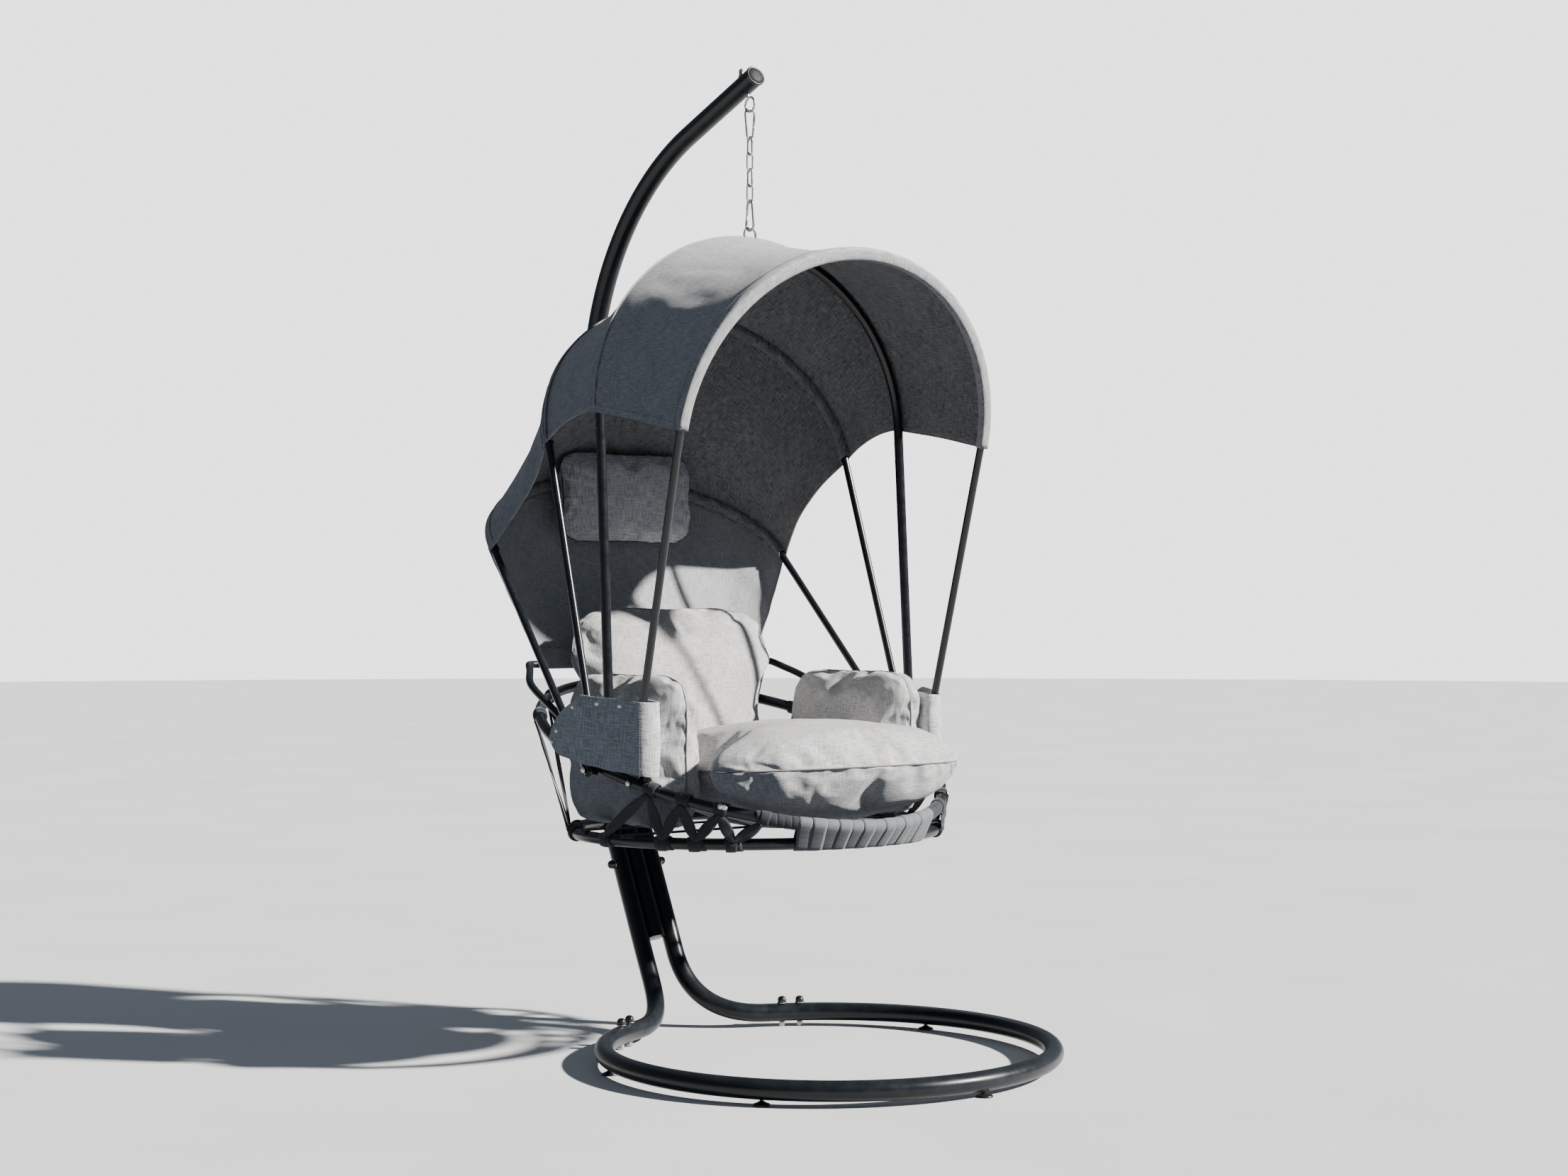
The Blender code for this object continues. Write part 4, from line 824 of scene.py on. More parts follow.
def carabiner_outline(top, across, wide_first, steps=18):
    sizes = (carabiner_wide, carabiner_narrow) if wide_first else (carabiner_narrow, carabiner_wide)
    upper = top - UP * sizes[0]
    lower = top - UP * (carabiner_length - sizes[1])
    turns = [across * cos(pi * i / steps) + UP * sin(pi * i / steps) for i in range(steps + 1)]
    high = [upper + turn * sizes[0] for turn in turns]
    low = [lower - turn * sizes[1] for turn in turns]
    gate_top = high[0] + (low[-1] - high[0]) * gate_start_share
    gate_bottom = high[0] + (low[-1] - high[0]) * gate_end_share
    return [gate_top] + high + low + [gate_bottom]


def snap_hook(name, gate_name, top, across, wide_first, body):
    outline = carabiner_outline(Vector((0, hang_y, top)), across, wide_first)
    tube(f"{name}_hook", outline, carabiner_wire_radius, zinc_steel, body, [name])
    run = (outline[-1] - outline[0]).normalized()
    start = outline[0] + run * gate_pin_gap
    end = outline[-1] - run * gate_pin_gap
    hinge, latch = (end, start) if wide_first else (start, end)
    stops = [hinge.lerp(latch, share) for share in gate_shares]
    tube(f"{gate_name}_bar", stops, gate_wire_radius, zinc_steel, gate_name, [gate_name], widths=gate_widths)
    pin = ((0, 0.0036), (0.0011, 0.0033), (0.0011, -0.0033), (0, -0.0036))
    pins = [(pin, hinge.lerp(latch, gate_pin_share), across.cross(UP))]
    turned_piece(f"{gate_name}_pin", pins, zinc_steel, gate_name, steps=12, ease=0.0003)


def build_eye_bolt():
    crossing_point, shank = eye_axis_point()
    eye_centre = crossing_point - shank * eye_drop
    sideways = Vector((0, shank.z, -shank.y))
    ring = [
        eye_centre + eye_mean_radius * (shank * cos(angle) + sideways * sin(angle))
        for angle in (eye_turn * i / 40 for i in range(41))
    ]
    rod_end = crossing_point + shank * (pole_radius + eye_shank_tail)
    neck = [rod_end, crossing_point, ring[0] + shank * 0.010, ring[0] + shank * 0.003]
    widths = [1.35, 1.35, 1.3, 1.1] + [1.0] * len(ring)
    tube("eye_bolt_bar", neck + ring, eye_wire_radius, zinc_steel, "stand", ["eye_bolt"], widths=widths)
    seat = crossing_point + shank * (pole_radius + seat_gap)
    washer = ((0, eye_washer_height), (0.0095, eye_washer_height), (0.0095, 0), (0, 0))
    top = seat + shank * eye_washer_height
    nut = [(washer, seat, shank), (dome(0.0062, 0.0174, 0.0070), top, shank)]
    turned_piece("eye_bolt_acorn", nut, zinc_steel, "stand", ["eye_bolt_nut"], ease=0.0004)
    hexagon = ((0, 0.0062), (0.0068, 0.0062), (0.0075, 0.0054), (0.0075, 0), (0, 0))
    turned_piece("eye_bolt_hexagon", [(hexagon, top, shank)], zinc_steel, "stand", steps=6, ease=0.0003)


def build_hanging_gear():
    tops = hanging_heights()
    snap_hook("carabiner_upper", "gate_upper", tops["carabiner_upper"], RIGHT, True, "carabiner_upper")
    weld = ((0, 0.0020), (0.0020, 0.0016), (0.0027, 0), (0.0020, -0.0016), (0, -0.0020))
    for number in range(1, link_count + 1):
        name = f"chain_link_{number}"
        across = BACK if number % 2 else RIGHT
        top = Vector((0, hang_y, tops[name]))
        tube(f"{name}_wire", link_outline(top, across), link_wire_radius, zinc_steel, "chain", [name],
             closed=True, sides=6)
        side = top - UP * link_length / 2 - across * link_half_width
        turned_piece(f"{name}_weld", [(weld, side, UP)], zinc_steel, "chain", steps=16, ease=0.0005)
    snap_hook("carabiner_lower", "gate_lower", tops["carabiner_lower"], BACK, False, "chain")
    build_eye_bolt()

    hoop_top = arch_point("main", pi / 2).z + main_hoop_radius
    centre = Vector((0, hang_y, tops["hanger_loop"] - loop_mean_radius))
    turns = [UP * sin(pi * i / 20) - RIGHT * cos(pi * i / 20) for i in range(21)]
    foot = Vector((loop_mean_radius, hang_y, hoop_top - 0.002))
    path = [mirrored(foot)] + [centre + loop_mean_radius * turn for turn in turns] + [foot]
    tube("hanger_loop_wire", path, loop_wire_radius, zinc_steel, "chair", ["hanger_loop"], sides=8)
    fillet = ((0, 0.006), (0.0028, 0.005), (0.0042, 0.0015), (0.0052, -0.0010), (0, -0.0010))
    beads = [(fillet, Vector((hand * loop_mean_radius, hang_y, hoop_top)), UP) for hand, _ in both_sides]
    turned_piece("hanger_loop_welds", beads, gloss_coat, "chair", steps=20)


# The chair's frame
def build_frame():
    angles = [2 * pi * i / 180 for i in range(180)]
    rim = [rim_curve(angle) for angle in angles]
    lower = [lower_curve(angle) for angle in angles]
    tube("rim_tube", rim, rim_tube_radius, powder_coat, "chair", ["seat_rim"], closed=True)
    tube("lower_ring_tube", lower, lower_tube_radius, powder_coat, "chair", ["lower_seat_ring"], closed=True)
    for number, angle in enumerate(spacer_angles, 1):
        path = [rim_curve(angle), lower_curve(angle)]
        tube(f"ring_spacer_{number}", path, spacer_radius, powder_coat, "chair", sides=6)
    for key in ("main", "third", "rear"):
        tube(f"hoop_{key}", hoop_path(key), radii[key], gloss_coat, "chair", [f"{key}_hoop"])
    tube("back_bar_tube", bar_path(), hoop_radius, powder_coat, "chair", ["back_bar"])
    tube("hoop_front", hoop_path("front"), hoop_radius, gloss_coat, "front_hoop", ["front_hoop"])
    for name, pivot, inner, outer in (
        ("front_pivot", front_pivot, front_side - hoop_radius, front_pivot.x + rim_tube_radius + 0.003),
        ("rear_pivot", rear_pivot, back_bar_side - hoop_radius, rear_side + hoop_radius),
    ):
        low, high = inner - rivet_reach, outer + rivet_reach
        rivet = (
            (0, high + 0.0032), (0.0040, high + 0.0029), (0.0065, high + 0.0014), (0.0065, high),
            (0.0030, high), (0.0030, low), (0.0065, low), (0.0065, low - 0.0014),
            (0.0040, low - 0.0029), (0, low - 0.0032),
        )
        place = Vector((0, pivot.y, pivot.z))
        for hand, side in both_sides:
            turned_piece(f"{name}_rivet_{side}", [(rivet, place, RIGHT * hand)], zinc_steel, "chair",
                         [f"{name}_bolt_{side}"], ease=0.0004)


# Webbing
strap_width = 0.024
strap_thickness = 0.0016
webbing_thickness = 0.0013
wrap_ease = 0.0008
band_sides = 20
band_lift = 0.0012
band_layer_rise = 0.0019
wrap_layer_rise = 0.0017
wrap_turns = 10
wrap_spans = 4
rim_knot_width = 0.027
lower_knot_width = 0.034
knot_tie_width = 0.021
knot_slant = 0.0025
knot_tie_shift = 0.006
knot_tie_slant = 1.4
petal_steps = 14
petal_lift = 0.0022
petal_out, petal_away = 0.80, -0.60
front_wrap_count = 13
front_wrap_span = radians(44.9)
front_wrap_width = 0.0305
front_wrap_slant = 0.004
rim_wrap_count = 4
rim_wrap_start = 0.052
rim_wrap_pitch = 0.034
rim_wrap_width = 0.0165
rim_wrap_slant = 0.0012
side_rim_angles = in_radians(34, 45, 55, 64.2)
side_lower_angles = in_radians(42.5, 53.5, 64, 86.4)
back_rim_angles = in_radians(123, 145, 168.3, 191.7, 215, 237)
back_lower_angles = in_radians(112, 134, 156.6, 180, 203.4, 226, 248)
seat_strap_width = 0.036
seat_strap_shares = (-0.242, 0.174, 0.545)
seat_hook_angle = radians(62)
seat_hook_steps = 8
seat_strap_spans = 12
clip_angle = radians(44)
crown = 0.0006
strap_columns = 5
across_shares = [i / strap_columns - 0.5 for i in range(strap_columns + 1)]


def crowned(share):
    """How far a strap's middle stands above its edges."""
    return crown * (1 - 4 * share * share)


def tube_frame(path, angle, other):
    """The run of a tube, and the directions round it: outwards, and away from the other tube."""
    run = along(path, angle)
    outwards = run.cross(UP).normalized()
    if outwards.dot(path(angle) - to_world((0, rim_centre_back, lower_height))) < 0:
        outwards = -outwards
    away = path(angle) - other(angle)
    away = (away - run * away.dot(run)).normalized()
    return run, (outwards - away * outwards.dot(away)).normalized(), away


def strap_row(path, angle, width, lift, direction, drift):
    """One row across a strap that crosses a tube, drifted along it and lifted off its axis."""
    small = 0.01
    step = (path(angle + small) - path(angle)).length / small
    return [
        path(angle + (share * width + drift) / step) + (lift + crowned(share)) * direction
        for share in across_shares
    ]


def band(path, other, angle, radius, width, layer, slant):
    """Rows of a strap wound once round one tube."""
    _, outwards, away = tube_frame(path, angle, other)
    lift = radius + band_lift + layer * band_layer_rise
    rows = []
    for i in range(band_sides):
        turn = 2 * pi * i / band_sides
        direction = outwards * cos(turn) + away * sin(turn)
        rows.append(strap_row(path, angle, width, lift, direction, slant * sin(turn)))
    return dict(rows=rows, wrap=True)


def joined_band(angle, width, layer, slant):
    """Rows of a strap wound once round the rim and the lower ring together."""
    halves = []
    for path, other, radius, sign in (
        (rim_curve, lower_curve, rim_tube_radius, -1), (lower_curve, rim_curve, lower_tube_radius, 1),
    ):
        _, outwards, away = tube_frame(path, angle, other)
        lift = radius + wrap_ease + strap_thickness / 2 + layer * wrap_layer_rise
        half = []
        for i in range(wrap_turns + 1):
            turn = pi * i / wrap_turns
            direction = outwards * sign * cos(turn) + away * sin(turn)
            drift = slant * (i / wrap_turns - 0.5) * sign
            half.append(strap_row(path, angle, width, lift, direction, drift))
        halves.append(half)
    rows = []
    for half, following in (halves, halves[::-1]):
        rows += half
        for i in range(1, wrap_spans):
            share = i / wrap_spans
            rows.append([first.lerp(second, share) for first, second in zip(half[-1], following[0])])
    return dict(rows=rows, wrap=True)


def petal(start, end, facing, seed):
    """A strand pulled between two knots: flat and wide in the middle, folded narrow at its ends."""
    rows = []
    run = (end - start).normalized()
    side = run.cross(facing).normalized()
    normal = side.cross(run).normalized()
    for i in range(petal_steps + 1):
        share = i / petal_steps
        fullness = sin(pi * share) ** 0.75
        twist = 0.35 * ripple(seed, share * 2, 3.1) + 0.25 * (share - 0.5)
        here = side * cos(twist) + normal * sin(twist)
        face = normal * cos(twist) - side * sin(twist)
        half = strap_width * (0.30 + 0.70 * fullness)
        centre = start.lerp(end, share) + normal * 0.002 * sin(pi * share)
        fold = 0.0045 * (1 - fullness)
        rows.append([
            centre + here * half * value + face * (fold * (1 - 4 * value * value) + crown)
            for value in across_shares
        ])
    return dict(rows=rows)


def lacing(name, rim_angles, lower_angles, starts_low, node):
    """A strap laced up and down between the rim and the lower ring, knotted round each of them."""
    tubes = (
        (rim_curve, lower_curve, rim_tube_radius, rim_knot_width),
        (lower_curve, rim_curve, lower_tube_radius, lower_knot_width),
    )
    visits = []
    for i in range(len(rim_angles) + len(lower_angles)):
        low = (i + starts_low) % 2
        visits.append((low, (rim_angles, lower_angles)[low][i // 2]))
    grids = []
    for i, (low, angle) in enumerate(visits):
        path, other, radius, width = tubes[low]
        sign = 1 if i % 2 else -1
        tie_angle, tie_slant = angle - knot_tie_shift * sign, -knot_slant * sign * knot_tie_slant
        grids.append(band(path, other, angle, radius, width, 0, knot_slant * sign))
        grids.append(band(path, other, tie_angle, radius, knot_tie_width, 1, tie_slant))
    for i, pair in enumerate(zip(visits, visits[1:])):
        ends, facing = [], Vector()
        for low, angle in pair:
            path, other, radius, _ = tubes[low]
            _, outwards, away = tube_frame(path, angle, other)
            lift = radius + petal_lift
            ends.append(path(angle) + lift * (outwards * petal_out + away * petal_away))
            facing += outwards
        grids.append(petal(*ends, facing, 3.7 * i + pair[0][1]))
    # The laced straps take the webbing's darker copy, its painted shade
    sheet_piece(name, grids, lacing_strap, webbing_thickness, nodes=[node])


def seat_strap_rows(share):
    """A flat strap across the lower ring, hooked down over it at both ends."""
    reach = lower_tube_radius + seat_gap + strap_thickness / 2
    centre = to_world((0, lower_centre_back, lower_height))
    turns = [seat_hook_angle * i / seat_hook_steps for i in range(seat_hook_steps + 1)]
    rows = []
    for value in across_shares:
        offset = lower_half_depth * share + value * seat_strap_width
        half_length = lower_half_width * sqrt(1 - (offset / lower_half_depth) ** 2)
        normal = Vector((half_length / lower_half_width**2, offset / lower_half_depth**2))
        steepness = normal.normalized().x
        right, left = (
            [
                centre + BACK * offset + RIGHT * sign * (half_length + reach / steepness * sin(turn))
                + UP * (reach * cos(turn) + crowned(value))
                for turn in turns
            ]
            for sign in (-1, 1)
        )
        middle = [
            right[0] + RIGHT * 2 * half_length * i / seat_strap_spans for i in range(1, seat_strap_spans)
        ]
        rows.append(right[::-1] + middle + left)
    return rows


def build_webbing():
    pitch = front_wrap_span / (front_wrap_count - 1)
    grids = []
    for i in range(front_wrap_count):
        angle = pitch * i - front_wrap_span / 2 + 0.0016 * ripple(i * 1.7, 4.2, 0.5)
        width = front_wrap_width + 0.0020 * ripple(i * 2.3, 1.1, 6.0)
        slant = front_wrap_slant + 0.004 * ripple(i * 0.9, 8.8, 2.0)
        grids.append(joined_band(angle, width, (i % 2) * 0.35, slant))
    # The front wraps take the webbing's lighter copy, its painted sunlight
    sheet_piece("front_wraps", grids, painted_lit_front_strap, webbing_thickness, nodes=["front_webbing"])
    grids = []
    for hand, _ in both_sides:
        for i in range(rim_wrap_count):
            angle = hand * (front_wrap_span / 2 + rim_wrap_start + rim_wrap_pitch * i)
            width = rim_wrap_width + 0.0015 * ripple(i * 1.3, hand * 2.0, 3.0)
            slant = rim_wrap_slant * (-1) ** i
            grids.append(band(rim_curve, lower_curve, angle, rim_tube_radius, width, 0, slant))
    # The rim wraps take the webbing's darker copy, its painted shade
    sheet_piece("rim_wraps", grids, lacing_strap, webbing_thickness)
    for hand, side in both_sides:
        angles = [[hand * angle for angle in row] for row in (side_rim_angles, side_lower_angles)]
        lacing(f"side_straps_{side}", *angles, 0, f"side_lacing_{side}")
        run, outwards, away = tube_frame(rim_curve, hand * clip_angle, lower_curve)
        tab = ((0, 0.0020), (0.0042, 0.0018), (0.0058, 0.0006), (0.0058, 0), (0, 0))
        facing = (outwards * 0.8 + away * 0.6).normalized()
        seat = rim_curve(hand * clip_angle) + facing * (rim_tube_radius + 0.0044)
        tabs = [(tab, seat, facing), (tab, seat + run * 0.008 * hand, facing)]
        turned_piece(f"strap_end_clip_{side}", tabs, snap_finish, "chair", steps=24, ease=0.0008)
    lacing("back_straps", back_rim_angles, back_lower_angles, 1, "back_lacing")
    for number, share in enumerate(seat_strap_shares, 1):
        grid = dict(rows=seat_strap_rows(share))
        # The seat straps take the webbing's darker copy, its painted shade
        sheet_piece(f"seat_webbing_{number}", [grid], lacing_strap, 0.0014, nodes=[f"seat_strap_{number}"])


# The canopy: one cloth from the front hoop over the other three and down to the back bar
fabric_thickness = 0.0016
canopy_columns = 96
edge_steps = 5
lifts = {
    "front": 0.0122,
    "main": main_hoop_radius + seat_gap + 0.0008 + 0.0026,
    "third": hoop_radius + 2 * seat_gap + 0.0008,
    "rear": hoop_radius + 2 * seat_gap + 0.0008,
}
# Each bay's two hoops, how far it sags in the middle and at the sides, and how far its edges rise
bays = (
    ("front", "main", 0.016, 0.0, radians(0.4)),
    ("main", "third", 0.020, 0.0, radians(3.0)),
    ("third", "rear", 0.032, 0.027, radians(0.6)),
)
# Each bay's and the sling's wrinkles: two drags as height, waves across and down, and seed,
# and the folds at the sides as height, waves, lean, lean by hand, phase by hand and reach
wrinkles = (
    (((0.0034, 5.5, 3.4, 1.0), (0.0017, 12, 6.5, 2.0)), (0.0045, 17, 6, 0, 2.2, 0.16)),
    (((0.0026, 6.5, 1.4, 5.0), (0.0014, 15, 2.2, 6.0)), (0.0050, 13, -5, 0, 0, 0.16)),
    (((0.0034, 6.0, 1.7, 9.0), (0.0020, 12, 3.0, 4.0)), (0.0085, 15, 8, 0, 0.6, 0.22)),
    (((0.0034, 3.4, 3.2, 12.0), (0.0022, 7.5, 7.5, 14.0)), (0.0060, 21, 0, 9, 0, 0.14)),
)
sling_bay = 3
bay_rows = (22, 20, 24)
sling_rows = 34
sling_hollow = 0.018
bar_hem_turns = 8
bar_hem_rows = 6
hem_rise = 0.036
hem_cloth_gap = 0.0034
wrinkle_power = 0.6
# Shares of a bay where the cloth's direction is read, before a hoop and after it
look_back, look_ahead, sling_look_ahead = 0.90, 0.10, 0.08
front_flap_width = 0.013
front_flap_lift = 0.0020
front_hem_widths = (0.024, 0.033)
front_hem_lift = 0.0022
front_hem_hollow = 0.0018
front_hem_steps = 7
front_fold_reach = 0.0128
front_fold_power = 0.55
front_fold_start = radians(-20)
front_fold_turn = radians(200)
front_fold_steps = 16
sleeve_radius = 0.0122
sleeve_tail = 0.019
sleeve_drop = 0.0022
sleeve_start = radians(-96)
sleeve_turn = radians(192)
sleeve_steps = 10
seam_radius = 0.0018
seam_stitch_gap = 0.0045
bar_reach = hoop_radius + seat_gap + fabric_thickness / 2
canopy_reach = 1.36


def column_angle(column):
    return pi * column / canopy_columns


def bar_point(column):
    return to_world((-bar_end_side * cos(column_angle(column)), bar_back, bar_height))


def from_middle(point):
    """The direction from the middle line of the canopy's arches towards a point."""
    return Vector((point.x, 0, point.z - cuffs["third"][2])).normalized()


def loft(bay, share, column):
    """A point of the smooth cloth between two hoops."""
    first, second, sag, side_pull, edge_rise = bays[bay]
    fullness = 4 * share * (1 - share)
    edge = edge_rise * fullness
    angle = edge + (pi - 2 * edge) * column / canopy_columns
    start = arch_point(first, angle, lifts[first])
    end = arch_point(second, angle, lifts[second])
    point = start.lerp(end, share)
    return point - from_middle(point) * fullness * blend_value(side_pull, sag, sin(angle))


def sling(share, column):
    """A point of the smooth cloth between the rear hoop and the back bar."""
    angle = column_angle(column)
    top = arch_point("rear", angle)
    bottom = bar_point(column) + BACK * bar_reach
    hollow = sling_hollow * 4 * share * (1 - share) * sin(angle)
    return top.lerp(bottom, share) + BACK * hollow


def canopy_wrinkle(bay, share, column):
    """How far the cloth stands off its smooth shape: soft drags from the hoops, folds at the sides."""
    angle = column_angle(column)
    side = min(angle, pi - angle)
    hand = 1 if angle > pi / 2 else -1
    drags, (height, waves, lean, lean_by_hand, phase, fade) = wrinkles[bay]
    drag = sum(
        size * ripple(angle * across, share * down, seed) for size, across, down, seed in drags
    )
    folds = height * sin(share * waves + side * (lean + lean_by_hand * hand) + phase * hand)
    folds *= (1 - 0.9 * exp(-side / 0.06)) * exp(-side / fade)
    return (drag + folds) * (4 * share * (1 - share)) ** wrinkle_power


def crossing(bay, column):
    """How the cloth meets the hoop at the end of a bay: a point before it, the hoop's centre, a
    point after it, the hoop's outward direction, and the cloth's own as it comes and as it leaves."""
    key = bays[bay][1]
    angle = column_angle(column)
    before = loft(bay, look_back, column)
    centre = arch_point(key, angle)
    to_sling = bay + 1 == sling_bay
    after = sling(sling_look_ahead, column) if to_sling else loft(bay + 1, look_ahead, column)
    tangent = arch_point(key, angle + radians(1)) - arch_point(key, angle - radians(1))
    outwards = arch_point(key, angle, hoop_radius) - centre
    normals = []
    for run in (centre - before, after - centre):
        normal = tangent.cross(run).normalized()
        normals.append(normal if normal.dot(outwards) > 0 else -normal)
    return before, centre, after, outwards.normalized(), normals


def canopy_column(column):
    """One column's points, from the front hoop to inside the back bar's hem, and their bays."""
    points, marks = [], []
    shift = Vector()
    for bay, (_, key, *_) in enumerate(bays):
        _, centre, _, outwards, normals = crossing(bay, column)
        next_shift = (normals[0] - outwards) * lifts[key]
        for i in range(0 if bay == 0 else 1, bay_rows[bay]):
            share = i / bay_rows[bay]
            point = loft(bay, share, column) + shift.lerp(next_shift, share)
            points.append(point + from_middle(point) * canopy_wrinkle(bay, share, column))
            marks.append(bay)
        for i in range(edge_steps + 1):
            points.append(centre + normals[0].slerp(normals[1], i / edge_steps) * lifts[key])
            marks.append(bay if i < edge_steps else bay + 1)
        shift = (normals[1] - outwards) * lifts[key]
    shift = normals[1] * lifts["rear"]
    for i in range(1, sling_rows + 1):
        share = i / sling_rows
        point = sling(share, column) + shift * (1 - share)
        points.append(point + BACK * canopy_wrinkle(sling_bay, share, column))
    bar = bar_point(column)
    for i in range(1, bar_hem_turns + 1):
        turn = pi * i / bar_hem_turns
        points.append(bar + bar_reach * (BACK * cos(turn) - UP * sin(turn)))
    levels = [sling(row / sling_rows, column) for row in range(sling_rows + 1)]
    for i in range(1, bar_hem_rows + 1):
        rise = hem_rise * i / bar_hem_rows
        height = bar_height + rise
        inner = min(levels, key=lambda level: abs(level.z - height)).y - hem_cloth_gap
        back = blend_value(bar.y - bar_reach, inner, smooth_share(rise, 0, hem_rise))
        points.append(Vector((bar.x, back, height)))
    marks += [sling_bay] * (len(points) - len(marks))
    return points, marks


def canopy_cloth(columns):
    """The cloth itself, in one piece, with its lining inside."""
    marks = columns[0][1]
    rows = turned_over(points for points, _ in columns)
    middle = canopy_columns // 2
    down = run_lengths([row[middle] for row in rows])
    uvs = [
        [(canopy_reach * column / canopy_columns, v) for column in range(canopy_columns + 1)] for v in down
    ]
    grid = dict(rows=rows, uvs=uvs, material=lambda j: 2 if marks[j] == sling_bay else 0)
    mesh = sheet_mesh("canopy", [grid])
    face = mesh.polygons[0]
    if face.normal.dot(face.center - to_world((0, 0, 1.2))) < 0:
        mesh.flip_normals()
    finishes = [canopy_outside, canopy_lining, sling_cloth, sling_cloth]
    nodes = ["canopy_front_panel", "canopy_and_sling"]
    piece = add_piece("canopy_cloth", mesh, finishes, nodes=nodes)
    return applied(thicken(piece, fabric_thickness, material_offset=1)), rows


def canopy_hems(rows):
    """A strip of the same cloth turned to the outside, along each of the two lower edges."""
    strips = []
    for first, second in ((0, 1), (canopy_columns, canopy_columns - 1)):
        strip = []
        for row in rows[:-(bar_hem_turns + bar_hem_rows + 1)]:
            away = Vector((row[first].x, 0, 0)).normalized()
            edge = row[first] + (row[first] - row[second]).normalized() * 0.0012
            strip.append([
                edge - away * 0.0014, edge + away * 0.0003, edge + away * 0.0020,
                row[first].lerp(row[second], 0.9) + away * 0.0024, row[second] + away * 0.0014,
            ])
        strips.append(dict(rows=strip))
    return applied(sheet_piece("canopy_edge_hems", strips, canopy_outside, 0.0008, body=None))


def front_sleeve():
    """The front hem, folded round the front hoop and stitched down on both faces of the cloth."""
    forwards = RIGHT.cross(hoop_frame("front")[1]).normalized()
    hem, outer_line, inner_line = [], [], []
    for column in range(canopy_columns + 1):
        angle = column_angle(column)
        centre = arch_point("front", angle)
        outwards = (arch_point("front", angle, hoop_radius) - centre).normalized()
        spacing = (arch_point("main", angle) - centre).length
        width = blend_value(*front_hem_widths, sin(angle)) + 0.0010 * ripple(angle * 9, 3.3, 3.0)
        outer = loft(0, front_flap_width / spacing, column) + outwards * front_flap_lift
        inner = loft(0, width / spacing, column) - outwards * front_hem_lift
        section = [outer, outer + forwards * 0.006]
        for i in range(front_fold_steps + 1):
            turn = front_fold_start + front_fold_turn * i / front_fold_steps
            across, ahead = (
                copysign(abs(part) ** front_fold_power, part) for part in (cos(turn), sin(turn))
            )
            section.append(centre + front_fold_reach * (outwards * across + forwards * ahead))
        last = section[-1]
        for i in range(1, front_hem_steps + 1):
            share = i / front_hem_steps
            section.append(last.lerp(inner, share) - outwards * front_hem_hollow * sin(pi * share))
        hem.append(section)
        outer_line.append((outer + forwards * 0.0025, outwards))
        inner_line.append((last.lerp(inner, 0.86) - outwards * front_hem_hollow, -outwards))
    sheet_piece("canopy_front_sleeve", [dict(rows=turned_over(hem))], canopy_outside, 0.0011,
                "front_hoop", ["canopy_front_hem"])
    stitches("front_hem_stitches", [outer_line, inner_line], "front_hoop", lift=0.0007)


def inner_sleeve(bay):
    """The sleeve that holds the hoop at the end of a bay, under the cloth."""
    key = bays[bay][1]
    lift = lifts[key] - sleeve_drop
    sleeve = []
    for column in range(canopy_columns + 1):
        before, centre, after, _, normals = crossing(bay, column)
        inwards = -(normals[0] + normals[1]).normalized()
        onwards = after - centre
        sideways = (onwards - inwards * onwards.dot(inwards)).normalized()
        section = [centre + (before - centre).normalized() * sleeve_tail + normals[0] * lift]
        for i in range(sleeve_steps + 1):
            turn = sleeve_start + sleeve_turn * i / sleeve_steps
            section.append(centre + sleeve_radius * (inwards * cos(turn) + sideways * sin(turn)))
        section.append(centre + onwards.normalized() * sleeve_tail + normals[1] * lift)
        sleeve.append(section)
    sheet_piece(f"canopy_sleeve_{key}", [dict(rows=turned_over(sleeve))], canopy_lining, 0.0010)


def build_canopy():
    columns = [canopy_column(column) for column in range(canopy_columns + 1)]
    canopy, rows = canopy_cloth(columns)
    hems = canopy_hems(rows)
    for piece in (canopy, hems):
        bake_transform(piece)
    front_sleeve()
    for bay in (1, 2):
        inner_sleeve(bay)

    # Raised seams outside the main and the rear hoop, in cloth lighter than the canopy as a painted highlight
    # along their edge, and their stitches
    angles = [column_angle(column) for column in range(canopy_columns + 1)]
    seam_lines = []
    for name, key, rise in (("canopy_seam_b", "main", 0.0011), ("canopy_seam_d", "rear", 0.0008)):
        lift = lifts[key] + rise
        path = [arch_point(key, angle, lift) for angle in angles]
        tube(name, path, seam_radius, painted_highlight_seam, "chair", sides=3)
        for offset in (-seam_stitch_gap, seam_stitch_gap):
            seam_lines.append([
                (arch_point(key, angle, lift - 0.0003) + BACK * offset,
                 (arch_point(key, angle, 1.0) - arch_point(key, angle)).normalized())
                for angle in angles
            ])
    stitches("canopy_seam_stitches", seam_lines, "chair", radius=0.0004)
    hem_line = [(point - BACK * 0.0012 - UP * 0.004, -BACK) for point in rows[-1][6:-6]]
    stitches("sling_hem_stitches", [hem_line], "chair")
    return canopy


# Arm panels
panel_front_back = -0.1745
panel_rear_back = 0.072
panel_plan = (
    (0.4635, 0.072), (0.4635, -0.056), (0.4297, -0.1152), (0.402, -0.1665),
    (0.3818, -0.1745), (0.3617, -0.1705), (0.3617, 0.0),
)
panel_corner_reaches = (0.020, 0.012, 0.011, 0.010, 0.010)
panel_outer_count = 4
panel_peak_share = 0.55
panel_bottoms = (0.596, 0.640)
panel_tops = (0.745, 0.759, 0.700)
panel_step = 0.0050
panel_corner = 0.045
panel_corner_cut = 0.75
panel_bulge = 0.0030
panel_thickness = 0.0030
panel_rows = 22
panel_stitch_inset = 2
snap_shares = ((0.03, 0.22), (0.06, 0.62), (0.22, 0.90), (0.46, 0.93), (0.72, 0.94))


